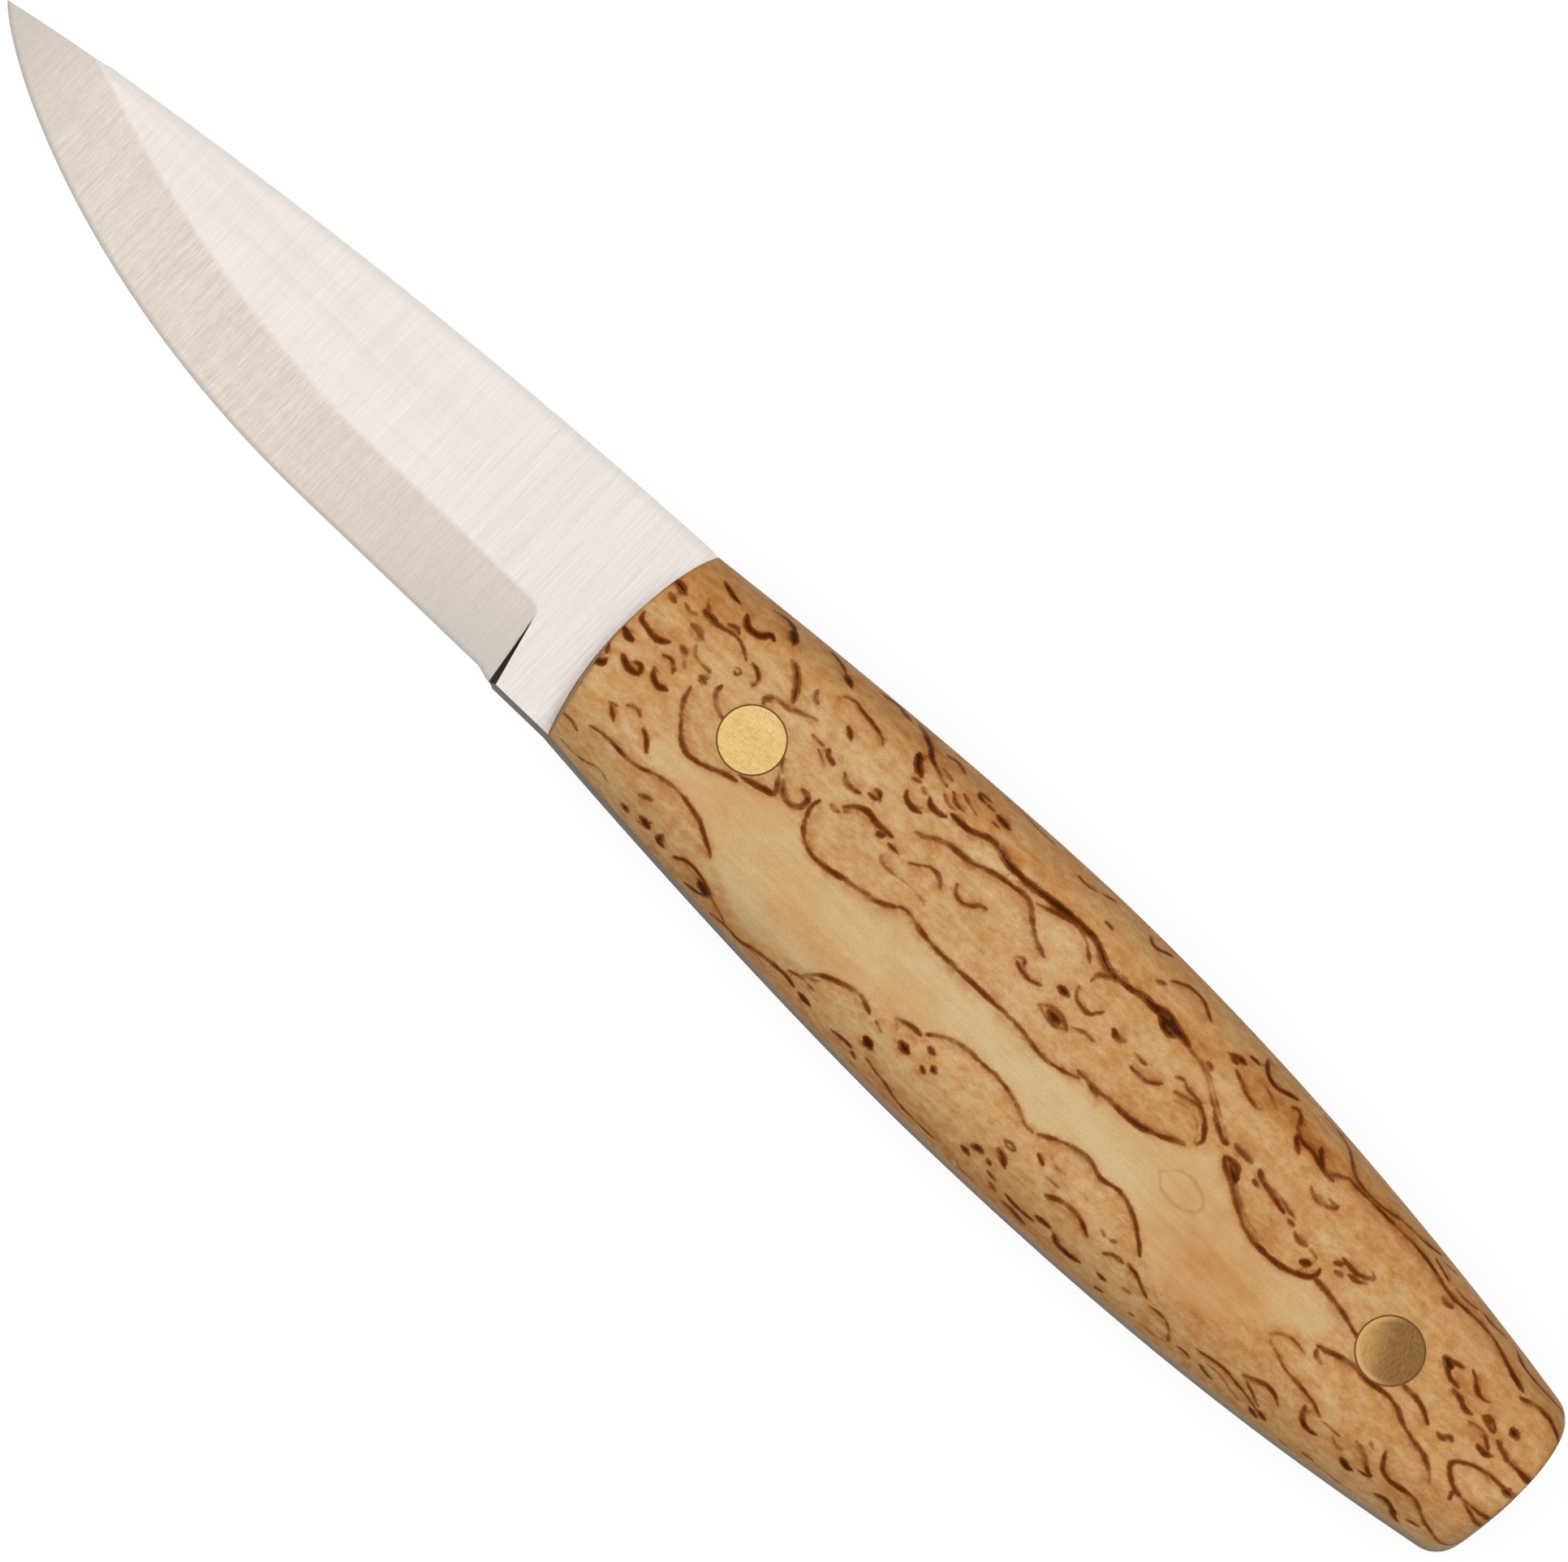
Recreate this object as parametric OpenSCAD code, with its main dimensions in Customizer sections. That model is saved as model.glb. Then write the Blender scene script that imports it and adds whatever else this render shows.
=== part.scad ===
// Fixed-blade knife: a one-piece blade and full tang with a flat single-bevel grind on each side,
// two wooden handle scales bonded to the tang, and two round pins that end flush with the wood.
// Frame: +X runs from the tip to the butt, +Y to the spine, and +Z up, out of the knife's left side.
// The knife lies on its right scale, with the origin under the middle of its length.

/* [Blade] */
// Length from the tip to the front of the scales
blade_len = 75.8; // [60:0.1:110]
// Thickness of the steel, the same in the blade and the tang
blade_t = 3; // [2:0.1:5]
// Height of the blade where it enters the handle
ricasso_h = 21.5; // [18:0.1:25]
// Height of the tip above the axis of the handle
tip_rise = 3.25; // [0:0.1:6]
// How far the spine bows above a straight line from the tip to the handle
spine_bow = 1.3; // [0:0.1:2.5]

/* [Edge] */
// Unsharpened length between the scales and the foot of the plunge line
ricasso_len = 4.4; // [2:0.1:12]
// How far the straight cutting edge lies above the underside of the ricasso
edge_lift = 0.4; // [0.2:0.05:1]
// Thickness left at the cutting edge
edge_t = 0.08; // [0.05:0.01:0.4]
// Width of each bevel along the straight edge, from the cutting edge to the grind line
bevel_w = 7.4; // [5:0.1:11]
// Width that the bevel swells towards along the belly
belly_bevel_w = 8.6; // [6:0.1:11]
// Width that the bevel would have at the tip, if the spine did not end it
tip_bevel_w = 4.8; // [3:0.1:9]
// Length of the curved part of the edge, back from the tip
belly_len = 48; // [35:0.5:60]
// How long the belly holds on to the direction of the straight edge
belly_hold = 28; // [18:0.5:32]
// Angle between the edge and the axis of the handle at the tip
tip_angle = 50; // [40:1:60]
// How long the edge holds on to that angle behind the tip
tip_hold = 4; // [2:0.5:10]
// How far the plunge line leans towards the tip, from its foot to the grind line
plunge_lean = 1.6; // [0.4:0.1:4]
// How far the plunge wall runs towards the tip as it goes down to the edge
plunge_run = 0.65; // [0.2:0.05:1.5]
// Radius that turns the grind line down into the plunge line
plunge_r = 1.3; // [0.5:0.1:3]
// Length of the small curve that lifts the edge from the underside of the ricasso
heel_len = 1.8; // [1:0.1:4]

/* [Handle] */
// Length from the front of the scales to the butt
handle_len = 107.8; // [90:0.1:140]
// Greatest width of the handle
handle_w = 27.1; // [25:0.1:34]
// Distance from the front of the scales to the widest place
widest_x = 48; // [35:0.5:65]
// Width at the butt, before its corners are rounded
butt_w = 16.4; // [13:0.1:24]
// How fast the sides draw in towards the blade: 1 is straight, 2 is a round barrel
front_swell = 1.6; // [1.2:0.1:2.6]
// How fast the sides draw in towards the butt
rear_swell = 2.05; // [1.2:0.05:2.6]
// How far the middle of the handle drops below its axis, from the widest place to the rear pin
rear_drop = 0.3; // [0:0.05:1]
// How far the front edge of the scales bows towards the tip
front_bow = 1.9; // [0.3:0.1:4]
// How far the butt bows outwards
butt_bow = 0.8; // [0.2:0.1:4]
// Radius of the two corners of the butt
butt_corner_r = 2.3; // [1:0.1:4]

/* [Scales] */
// Thickness of each scale
scale_t = 7.4; // [5:0.1:10]
// Width of the rounded shoulder from the tang to the flat side of a scale
shoulder_w = 6; // [3:0.1:7]
// How far up its ellipse a shoulder starts at the tang: 0 starts it upright, more leans it in
shoulder_start = 1.6; // [0:0.1:3]
// Radius of the top edge at the front and butt ends of a scale
end_r = 0.5; // [0.3:0.1:2.5]
// How far the end walls of a scale lean in below that radius
end_draft = 0.1; // [0.05:0.05:1]

/* [Pins and bond] */
// Diameter of the pins
pin_d = 6; // [3:0.1:7]
// Distance from the front of the scales to the front pin
front_pin_x = 14.9; // [8:0.1:30]
// Distance from the butt to the rear pin
rear_pin_in = 16.7; // [12:0.1:30]
// Thickness of the bond between the tang and each scale
bond_t = 0.1; // [0.05:0.05:0.3]
// Thickness of the bond around each pin
pin_bond_t = 0.15; // [0.05:0.05:0.3]

/* [Hidden] */
$fn = 96;

// Places along the knife, measured from the front of the scales
rear_pin_x = handle_len - rear_pin_in;
middle_x = (handle_len - blade_len) / 2;
heel_x = -ricasso_len;
belly_x = belly_len - blade_len;
butt_corner_x = handle_len - butt_bow;
end_reach = end_draft + end_r;
butt_reach = max(butt_corner_r, end_reach);

// Heights above the axis of the handle, and thicknesses about the middle of the tang
half_ricasso = ricasso_h / 2;
edge_y = edge_lift - half_ricasso;
grind_y = edge_y + bevel_w;
half_blade = blade_t / 2;
scale_z = half_blade + bond_t;
handle_t = 2 * (scale_z + scale_t);
bore_d = pin_d + 2 * pin_bond_t;

// Steps along the curves
spine_steps = 28;
edge_steps = 30;
heel_steps = 6;
end_angle_step = 15;
body_steps = 30;
shoulder_steps = 9;
flat_steps = 8;

// How far the cutters reach past the steel
cut_over = 1;
edge_over = 2;

// Where a shoulder starts on its ellipse, and the most of the half width that it may take
shoulder_low = asin(shoulder_start / (shoulder_start + scale_t));
shoulder_share = 0.85;

steel = [0.86, 0.84, 0.82];
birch = [0.85, 0.70, 0.47];
brass = [0.85, 0.68, 0.36];
resin = [0.22, 0.15, 0.09];

function mix(a, b, f) = a + (b - a) * f;
function smooth(f) = f * f * (3 - 2 * f);
function reversed(list) = [for (i = [len(list) - 1:-1:0]) list[i]];
function between(list) = [for (i = [1:len(list) - 1]) mix(list[i - 1], list[i], 0.5)];

// A cubic curve through p0 and p3, and its direction
function curve_at(p0, p1, p2, p3, t) =
    pow(1 - t, 3) * p0 + 3 * pow(1 - t, 2) * t * p1 + 3 * (1 - t) * t * t * p2 + pow(t, 3) * p3;
function curve_dir(p0, p1, p2, p3, t) =
    3 * pow(1 - t, 2) * (p1 - p0) + 6 * (1 - t) * t * (p2 - p1) + 3 * t * t * (p3 - p2);

// Blade outline: the tip, the bowed spine, and the belly of the edge with its direction and bevel width
tip = [-blade_len, tip_rise];
spine_end = [front_bow, half_ricasso];
spine = [
    for (i = [0:spine_steps - 1])
        let (f = i / spine_steps)
            mix(tip, spine_end, f) + [0, 4 * spine_bow * f * (1 - f)]
];
belly_start = [belly_x, edge_y];
belly_out = belly_start - [belly_hold, 0];
tip_in = tip + tip_hold * [cos(tip_angle), -sin(tip_angle)];
belly = [
    for (i = [0:edge_steps])
        let (
            t = i / edge_steps,
            along = curve_dir(belly_start, belly_out, tip_in, tip, t),
            ahead = along / norm(along),
            bevel = pow(1 - t, 2) * bevel_w + 2 * (1 - t) * t * belly_bevel_w + t * t * tip_bevel_w
        )
            [curve_at(belly_start, belly_out, tip_in, tip, t), [ahead.y, -ahead.x], bevel]
];

// The heel, where the edge lifts in a small curve from the underside of the ricasso
heel = [
    for (i = [0:heel_steps])
        let (f = i / heel_steps)
            [heel_x - plunge_run - heel_len * f, edge_lift * smooth(f) - half_ricasso]
];

// The edge of the blank: its corners lie between the stations of the grind, off the seams of that cut
plunge_middle = [heel_x - plunge_run / 2, -half_ricasso];
edge_line = concat(
    [plunge_middle],
    between(heel),
    [for (f = [0.1, 0.9]) mix(heel[heel_steps], belly_start, f)],
    between([for (station = belly) station[0]])
);

// Half width of the handle at its side, x from the front of the scales
function side_half_w(x) =
    let (
        widest = handle_w / 2,
        front_drop = widest - half_ricasso,
        butt_drop = widest - butt_w / 2,
        front_share = max(0, widest_x - x) / (widest_x - front_bow),
        butt_share = max(0, x - widest_x) / (butt_corner_x - widest_x)
    )
        widest - front_drop * pow(front_share, front_swell) - butt_drop * pow(butt_share, rear_swell);

// How far the handle has dropped below its axis
function axis_drop(x) = rear_drop * smooth(min(1, max(0, x - widest_x) / (rear_pin_x - widest_x)));

// What a round corner of the butt takes off that half width
function corner_cut(x) =
    let (past = max(0, x - butt_corner_x + butt_corner_r))
        butt_corner_r - sqrt(max(0, pow(butt_corner_r, 2) - past * past));

// Distances of the cross rows of a scale from its front: close together where the ends turn over
rows = concat(
    [for (a = [0:end_angle_step:90 - end_angle_step]) end_reach * (1 - cos(a))],
    [for (i = [0:body_steps]) mix(end_reach, handle_len - butt_reach, i / body_steps)],
    [for (a = [90 - end_angle_step:-end_angle_step:0]) handle_len - butt_reach * (1 - cos(a))]
);
last_row = len(rows) - 1;

// Share of the full thickness at a distance from an end of the scale
function end_height(d) =
    let (wall = 1 - end_r / scale_t, turn = max(0, 1 - (d - end_draft) / end_r))
        d < end_draft ? wall * d / end_draft : 1 - (end_r / scale_t) * (1 - sqrt(1 - turn * turn));

// Points across a scale, from the edge side to the spine: share of the shoulder, share of the height,
// and side. The flat between the shoulders has points too, because the front and the butt are bowed.
shoulder = [
    for (i = [0:shoulder_steps])
        let (a = mix(shoulder_low, 90, i / shoulder_steps))
            [1 - cos(a) / cos(shoulder_low), (sin(a) - sin(shoulder_low)) / (1 - sin(shoulder_low))]
];
across = concat(
    [for (s = shoulder) [s[0], s[1], -1]],
    [for (i = [1:flat_steps - 1]) [1, 1, 2 * i / flat_steps - 1]],
    [for (s = reversed(shoulder)) [s[0], s[1], 1]]
);
last_across = len(across) - 1;

// One point of the outer skin of a scale. The rows change from the bow of the front to that of the butt.
function skin_point(i, j) =
    let (
        f = rows[i] / handle_len,
        side_x = mix(front_bow, butt_corner_x, f),
        half_w = side_half_w(side_x) - corner_cut(side_x),
        drawn_in = min(shoulder_w, shoulder_share * half_w) * across[j][0],
        y = across[j][2] * (half_w - drawn_in),
        bow = pow(y / half_w, 2),
        end_d = min(rows[i], handle_len - rows[i]),
        x = mix(front_bow * bow, handle_len - butt_bow * bow, f)
    )
        [x, y - axis_drop(side_x), scale_t * end_height(end_d) * across[j][1]];

function skin_foot(i, j) = let (p = skin_point(i, j)) [p.x, p.y];

// Outline of the scales, the bond and the tang: spine side, butt and edge side, then the bowed front
spine_side = [for (i = [0:last_row]) skin_foot(i, last_across)];
butt_side = [for (j = [last_across - 1:-1:1]) skin_foot(last_row, j)];
edge_side = [for (i = [last_row:-1:0]) skin_foot(i, 0)];
front_side = [for (j = [1:last_across - 1]) skin_foot(0, j)];

module placed() {
    translate([-middle_x, 0, handle_t / 2]) children();
}

module at_pins() {
    for (x = [front_pin_x, rear_pin_x]) translate([x, 0, 0]) children();
}

module pin_bores() {
    at_pins() cylinder(d = bore_d, h = handle_t + 2 * cut_over, center = true);
}

// A solid through closed rings of points, all with the same count. The wall that closes the rings comes
// first. Walls are split towards the nearest corner, so that an end ring of no height leaves no fold.
module loft(rings) {
    count = len(rings[0]);
    last = len(rings) - 1;
    walls = [
        for (k = [count - 1:-1:0], i = [0:last - 1])
            let (
                a = i * count + k,
                b = i * count + (k + 1) % count,
                c = b + count,
                d = a + count
            )
                each (i < last / 2) == (k < count / 2) ? [[a, b, c], [a, c, d]] : [[a, b, d], [b, c, d]]
    ];
    caps = [[for (k = [count - 1:-1:0]) k], [for (k = [0:count - 1]) last * count + k]];
    polyhedron(points = [for (ring = rings) each ring], faces = concat(walls, caps), convexity = 6);
}

// One ring of the bevel cutter, from a point on the edge and one on the grind line. The foot is where its
// far side starts on the flat of the blade, and that side leans by lean.
function bevel_ring(edge, grind, foot, lean) =
    let (
        out = edge_over / bevel_w,
        low = [edge.x, edge.y, edge_t / 2],
        high = [grind.x, grind.y, half_blade],
        over = cut_over * [lean / half_blade, 0, 1],
        top = [foot.x, foot.y, half_blade]
    )
        [low + out * (low - high), high, high + over, top + out * (top - high) + over];

// What the grinder takes off the left side: heel and plunge, straight edge, belly, and past the tip
module bevel_cut() {
    plunge = [
        for (i = [0:heel_steps])
            let (
                a = 90 * i / heel_steps,
                turn = plunge_r * [cos(a) - 1, sin(a) - 1],
                grind = [heel_x - plunge_lean, grind_y] + turn,
                wall = i == 0 ? plunge_run : 0
            )
                bevel_ring(heel[i], grind, heel[i] + [wall, 0], wall)
    ];
    past_tip = [tip + edge_over * [-cos(tip_angle), sin(tip_angle)], belly[edge_steps][1], tip_bevel_w];
    ground = [
        for (i = [0:edge_steps])
            let (station = i < edge_steps ? belly[i] : past_tip, edge = station[0])
                bevel_ring(edge, edge + station[2] * station[1], edge, 0)
    ];
    loft(concat(plunge, ground));
}

module blade() {
    color(steel) placed() difference() {
        linear_extrude(blade_t, center = true)
            polygon(concat(spine, spine_side, butt_side, edge_side, edge_line));
        bevel_cut();
        mirror([0, 0, 1]) bevel_cut();
        pin_bores();
    }
}

module bond_film() {
    translate([0, 0, half_blade]) linear_extrude(bond_t)
        polygon(concat(spine_side, butt_side, edge_side, front_side));
}

module left_bond() {
    color(resin) placed() difference() {
        bond_film();
        pin_bores();
    }
}

module right_bond() {
    color(resin) placed() mirror([0, 0, 1]) difference() {
        bond_film();
        pin_bores();
    }
}

module scale_body() {
    translate([0, 0, scale_z])
        loft([for (i = [0:last_row]) [for (j = [0:last_across]) skin_point(i, j)]]);
}

module left_scale() {
    color(birch) placed() difference() {
        scale_body();
        pin_bores();
    }
}

module right_scale() {
    color(birch) placed() mirror([0, 0, 1]) difference() {
        scale_body();
        pin_bores();
    }
}

module pin_sleeve(x) {
    color(resin) placed() translate([x, 0, 0]) difference() {
        cylinder(d = bore_d, h = handle_t, center = true);
        cylinder(d = pin_d, h = handle_t + 2 * cut_over, center = true);
    }
}

module front_pin_bond() {
    pin_sleeve(front_pin_x);
}

module rear_pin_bond() {
    pin_sleeve(rear_pin_x);
}

module pin(x) {
    color(brass) placed() translate([x, 0, 0]) cylinder(d = pin_d, h = handle_t, center = true);
}

module front_pin() {
    pin(front_pin_x);
}

module rear_pin() {
    pin(rear_pin_x);
}

blade();
left_bond();
right_bond();
left_scale();
right_scale();
front_pin_bond();
rear_pin_bond();
front_pin();
rear_pin();
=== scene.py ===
import math

import bmesh
import bpy
import numpy as np
from mathutils import Matrix, Vector
from mathutils.geometry import delaunay_2d_cdt


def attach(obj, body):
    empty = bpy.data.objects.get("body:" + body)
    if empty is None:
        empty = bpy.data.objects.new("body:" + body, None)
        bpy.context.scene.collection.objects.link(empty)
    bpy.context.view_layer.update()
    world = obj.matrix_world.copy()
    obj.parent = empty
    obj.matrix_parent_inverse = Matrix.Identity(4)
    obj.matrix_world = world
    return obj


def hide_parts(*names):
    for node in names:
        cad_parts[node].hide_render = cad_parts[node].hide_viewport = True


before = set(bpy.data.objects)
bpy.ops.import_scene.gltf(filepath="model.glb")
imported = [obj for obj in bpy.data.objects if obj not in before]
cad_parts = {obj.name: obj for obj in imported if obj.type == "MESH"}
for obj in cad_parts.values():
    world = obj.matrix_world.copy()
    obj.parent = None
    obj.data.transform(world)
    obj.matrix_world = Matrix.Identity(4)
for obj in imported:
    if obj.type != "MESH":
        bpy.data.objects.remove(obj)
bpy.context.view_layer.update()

# Blade and tang
# One piece of hardened steel bar. Its flats are linished across, a straight bevel is ground on each side up
# to a stopped plunge line, and the tang runs at full width to the butt, flush with the scales.
MM = 0.001
FRONT_X = -16.0
STEEL_Z = 9.0
half_steel = 1.5
half_edge = 0.04
tip = np.array([-75.799, 3.25])
spine_end = np.array([1.9, 10.75])
spine_bow = 1.3
spine_ease = 0.12
half_ricasso = 10.75
edge_y = -10.35
bevel_w = 7.4
belly_bevel_w = 8.6
tip_bevel_w = 4.8
heel_x = -4.4
heel_len = 1.8
plunge_run = 0.65
plunge_lean = 1.6
plunge_r = 1.3
belly_start = np.array([-27.8, edge_y])
belly_out = np.array([-55.8, edge_y])
tip_pull = 4.0
tip_angle = math.radians(50)
tip_in = tip + tip_pull * np.array([math.cos(tip_angle), -math.sin(tip_angle)])
handle_len = 107.799
half_handle = 13.54
widest_x = 48.0
front_ease = 1.6
butt_ease = 2.05
half_butt = 8.2
rear_drop = 0.3
rear_pin_at = 91.1
front_bow = 1.9
butt_bow = 0.8
butt_x = handle_len - butt_bow
butt_corner_r = 2.3
# Points closer together than this are one point
weld = 0.002


def mix(a, b, f):
    return a + (b - a) * f


def smooth(f):
    return f * f * (3 - 2 * f)


def spine_height(x):
    """Height of the spine, x from the front of the scales."""
    f = (x - tip[0]) / (spine_end[0] - tip[0])
    return mix(tip[1], spine_end[1], f) + 4 * spine_bow * f * (1 - f)


def belly_at(t):
    """Points of the curved edge, from its straight part to the tip, and the way from each over the bevel."""
    t = np.asarray(t, float)[:, None]
    first, second, third = belly_out - belly_start, tip_in - belly_out, tip - tip_in
    point = (1 - t) ** 3 * belly_start + 3 * (1 - t) ** 2 * t * belly_out
    point = point + 3 * (1 - t) * t**2 * tip_in + t**3 * tip
    ahead = (1 - t) ** 2 * first + 2 * (1 - t) * t * second + t**2 * third
    ahead /= np.linalg.norm(ahead, axis=1, keepdims=True)
    width = (1 - t) ** 2 * bevel_w + 2 * (1 - t) * t * belly_bevel_w + t**2 * tip_bevel_w
    return point, np.column_stack([ahead[:, 1], -ahead[:, 0]]) * width


def narrowed(holds, low, high):
    """Halves the span between where a test holds and where it no longer does, until the two ends meet."""
    for _ in range(40):
        middle = (low + high) / 2
        held = holds(middle)
        low, high = np.where(held, middle, low), np.where(held, high, middle)
    return low, high


def bevel_share(point, over):
    """The share of the bevel's width that lies under the spine: less than all of it near the tip."""

    def under_spine(share):
        at = point + share[:, None] * over
        return at[:, 1] < spine_height(at[:, 0])

    return narrowed(under_spine, np.zeros(len(point)), np.ones(len(point)))[1]


def side_half(x):
    """Half width of the handle, x from the front of the scales, with the round corners of the butt."""
    ahead = np.clip(widest_x - x, 0, None) / (widest_x - front_bow)
    behind = np.clip(x - widest_x, 0, None) / (butt_x - widest_x)
    front = (half_handle - half_ricasso) * ahead**front_ease
    butt = (half_handle - half_butt) * behind**butt_ease
    past = np.clip(x - butt_x + butt_corner_r, 0, butt_corner_r)
    return half_handle - front - butt - butt_corner_r + np.sqrt(butt_corner_r**2 - past**2)


def axis_drop(x):
    """How far the middle of the handle has dropped below its axis, x from the front of the scales."""
    return rear_drop * smooth(np.clip((x - widest_x) / (rear_pin_at - widest_x), 0, 1))


def handle_outline():
    """The outline of the tang and scales from the spine at the front, round the butt, to the edge side."""
    side_steps = 150
    corner_steps = 13
    butt_steps = 31
    turn = np.sin(np.radians(np.linspace(0, 90, corner_steps)))
    along = np.linspace(front_bow, butt_x - butt_corner_r, side_steps)[:-1]
    x = np.concatenate([along, butt_x - butt_corner_r * (1 - turn)])
    side = np.column_stack([x, side_half(x)])
    y = np.linspace(side[-1, 1], -side[-1, 1], butt_steps)[1:-1]
    butt = np.column_stack([handle_len - butt_bow * (y / side[-1, 1]) ** 2, y])
    outline = np.concatenate([side, butt, side[::-1] * [1, -1]])
    outline[:, 1] -= axis_drop(outline[:, 0])
    return outline


def add_piece(name, bm, *materials, crease=8):
    """Makes a mesh in millimetres into a piece in metres. Edges turned by more than crease stay sharp."""
    bmesh.ops.recalc_face_normals(bm, faces=bm.faces[:])
    bmesh.ops.scale(bm, vec=(MM, MM, MM), verts=bm.verts[:])
    mesh = bpy.data.meshes.new(name)
    bm.to_mesh(mesh)
    bm.free()
    mesh.shade_smooth()
    mesh.set_sharp_from_angle(angle=math.radians(crease))
    for material in materials:
        mesh.materials.append(material)
    piece = bpy.data.objects.new(name, mesh)
    bpy.context.scene.collection.objects.link(piece)
    return piece


def skin(bm, grid, material=0):
    """Faces over a grid of points, given as rows of bmesh vertices."""
    for row, after in zip(grid[:-1], grid[1:]):
        for a, b, c, d in zip(row[:-1], row[1:], after[1:], after[:-1]):
            bm.faces.new((a, b, c, d)).material_index = material


def bands(bm, loops, material=0):
    """Faces that join closed loops of bmesh vertices, each to the next one."""
    skin(bm, [loop + loop[:1] for loop in loops], material)


def blade_mesh():
    """The whole bar: flats, bevels, plunge walls, edges and eased spine, each with a finish of its own."""
    FLAT, BEVEL, PLUNGE, EDGE, EASED = range(5)
    heel_steps = 11
    straight_steps = 14
    belly_steps = 90
    tip_steps = 40
    spine_steps = 70
    wall_steps = 7
    bevel_shares = (0, 0.2, 0.4, 0.6, 0.8, 1)

    def whole_bevel(t):
        return bevel_share(*belly_at(t)) > 1 - 1e-9

    full_bevel = narrowed(whole_bevel, np.array([0.5]), np.array([1.0]))[0][0]
    f = np.linspace(0, 1, heel_steps)
    turn = np.radians(90 * f)
    heel = np.column_stack([heel_x - plunge_run - heel_len * f, mix(-half_ricasso, edge_y, smooth(f))])
    corner = np.column_stack([np.cos(turn), np.sin(turn)]) * plunge_r
    corner += [heel_x - plunge_lean - plunge_r, edge_y + bevel_w - plunge_r]
    straight = np.linspace(0, 1, straight_steps)[1:-1, None]
    t = np.concatenate([np.linspace(0, full_bevel, belly_steps), np.linspace(full_bevel, 1, tip_steps)[1:]])
    belly, over = belly_at(t)
    share = bevel_share(belly, over)
    grind = belly + share[:, None] * over
    edges = np.concatenate([heel, mix(heel[-1], belly[0], straight), belly])
    grinds = np.concatenate([corner, mix(corner[-1], grind[0], straight), grind])
    height = np.concatenate([np.ones(len(heel) + len(straight)), share])
    meet = len(heel) + len(straight) + belly_steps - 1
    spine_x = np.linspace(grinds[meet, 0], spine_end[0], spine_steps)[1:]
    spine = np.column_stack([spine_x, spine_height(spine_x)])
    outline = np.concatenate([spine, handle_outline()[1:]])
    foot = np.array([heel_x, -half_ricasso])

    bm = bmesh.new()
    rise = bm.verts.layers.float.new("bevel_rise")
    rims = []
    for side in (1, -1):

        def vertex(p, z):
            return bm.verts.new((p[0] + FRONT_X, p[1], STEEL_Z + side * z))

        bevel = []
        for e, g, h in zip(edges, grinds, height):
            bevel.append([])
            for k in bevel_shares:
                bevel[-1].append(vertex(mix(e, g, k), mix(half_edge, half_steel, h * k)))
                bevel[-1][-1][rise] = h * k
        plunge = []
        for w in np.linspace(0, 1, wall_steps + 1)[:-1]:
            row = []
            for up in bevel_shares[:-1]:
                flat_p, low_p = mix(foot, grinds[0], up), mix(edges[0], grinds[0], up)
                drop = (half_steel - half_edge) * (1 - up) * math.sin(math.radians(90 * w))
                row.append(vertex(mix(flat_p, low_p, w), half_steel - drop))
            plunge.append(row + [bevel[0][-1]])
        plunge.append(bevel[0])
        skin(bm, bevel, BEVEL)
        skin(bm, [row[:-1] for row in plunge], PLUNGE)
        for row, after in zip(plunge[:-1], plunge[1:]):
            bm.faces.new((row[-2], after[-2], bevel[0][-1])).material_index = PLUNGE
        rim = [vertex(p, half_steel) for p in outline]
        grind_line = [row[-1] for row in bevel[: meet + 1]]
        bm.faces.new(grind_line + rim + plunge[0][:-1])
        underside = [row[0] for row in plunge[:-1]] + [row[0] for row in bevel]
        clipped = [row[-1] for row in bevel[meet:]][::-1]
        rims.append(clipped + rim + underside)
    bands(bm, rims, EDGE)
    bmesh.ops.remove_doubles(bm, verts=bm.verts[:], dist=weld)
    scale_front = FRONT_X + spine_end[0] - 0.01
    eased = [
        edge
        for edge in bm.edges
        if {face.material_index for face in edge.link_faces} == {FLAT, EDGE}
        and all(v.co.y > 0 and v.co.x < scale_front for v in edge.verts)
    ]
    bmesh.ops.bevel(
        bm, geom=eased, offset=spine_ease, offset_type="OFFSET", segments=2, profile=0.5, affect="EDGES",
        clamp_overlap=False, material=EASED,
    )
    return bm


def srgb(*levels):
    """A colour as it shows on a screen, 0 to 255, in the shader's linear numbers."""
    shares = np.array(levels) / 255
    linear = np.where(shares <= 0.04045, shares / 12.92, ((shares + 0.055) / 1.055) ** 2.4)
    return (*linear.tolist(), 1.0)


def put(tree, kind, values=None, **settings):
    """Adds a shader node. Values go to its inputs by name or number, and a socket among them is linked."""
    made = tree.nodes.new("ShaderNode" + kind)
    for key, value in settings.items():
        setattr(made, key, value)
    for key, value in (values or {}).items():
        if isinstance(value, bpy.types.NodeSocket):
            tree.links.new(value, made.inputs[key])
        else:
            made.inputs[key].default_value = value
    return made


def feed(tree, node, **sockets):
    """Links values that change over the surface to a node's inputs."""
    for key, value in sockets.items():
        tree.links.new(value, node.inputs[key.replace("_", " ")])


def tint(tree, share, first, second):
    """The colour between two colours at a share that changes over the surface."""
    return put(tree, "Mix", {0: share, 6: first, 7: second}, data_type="RGBA").outputs[2]


def ranged(tree, value, low, high, to_low=0.0, to_high=1.0):
    """A value eased from one range to another."""
    limits = {"From Min": low, "From Max": high, "To Min": to_low, "To Max": to_high}
    made = put(tree, "MapRange", {**limits, "Value": value}, interpolation_type="SMOOTHSTEP")
    return made.outputs["Result"]


def reckoned(tree, operation, a, b):
    return put(tree, "Math", {0: a, 1: b}, operation=operation).outputs[0]


def times(tree, a, b):
    return reckoned(tree, "MULTIPLY", a, b)


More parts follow.
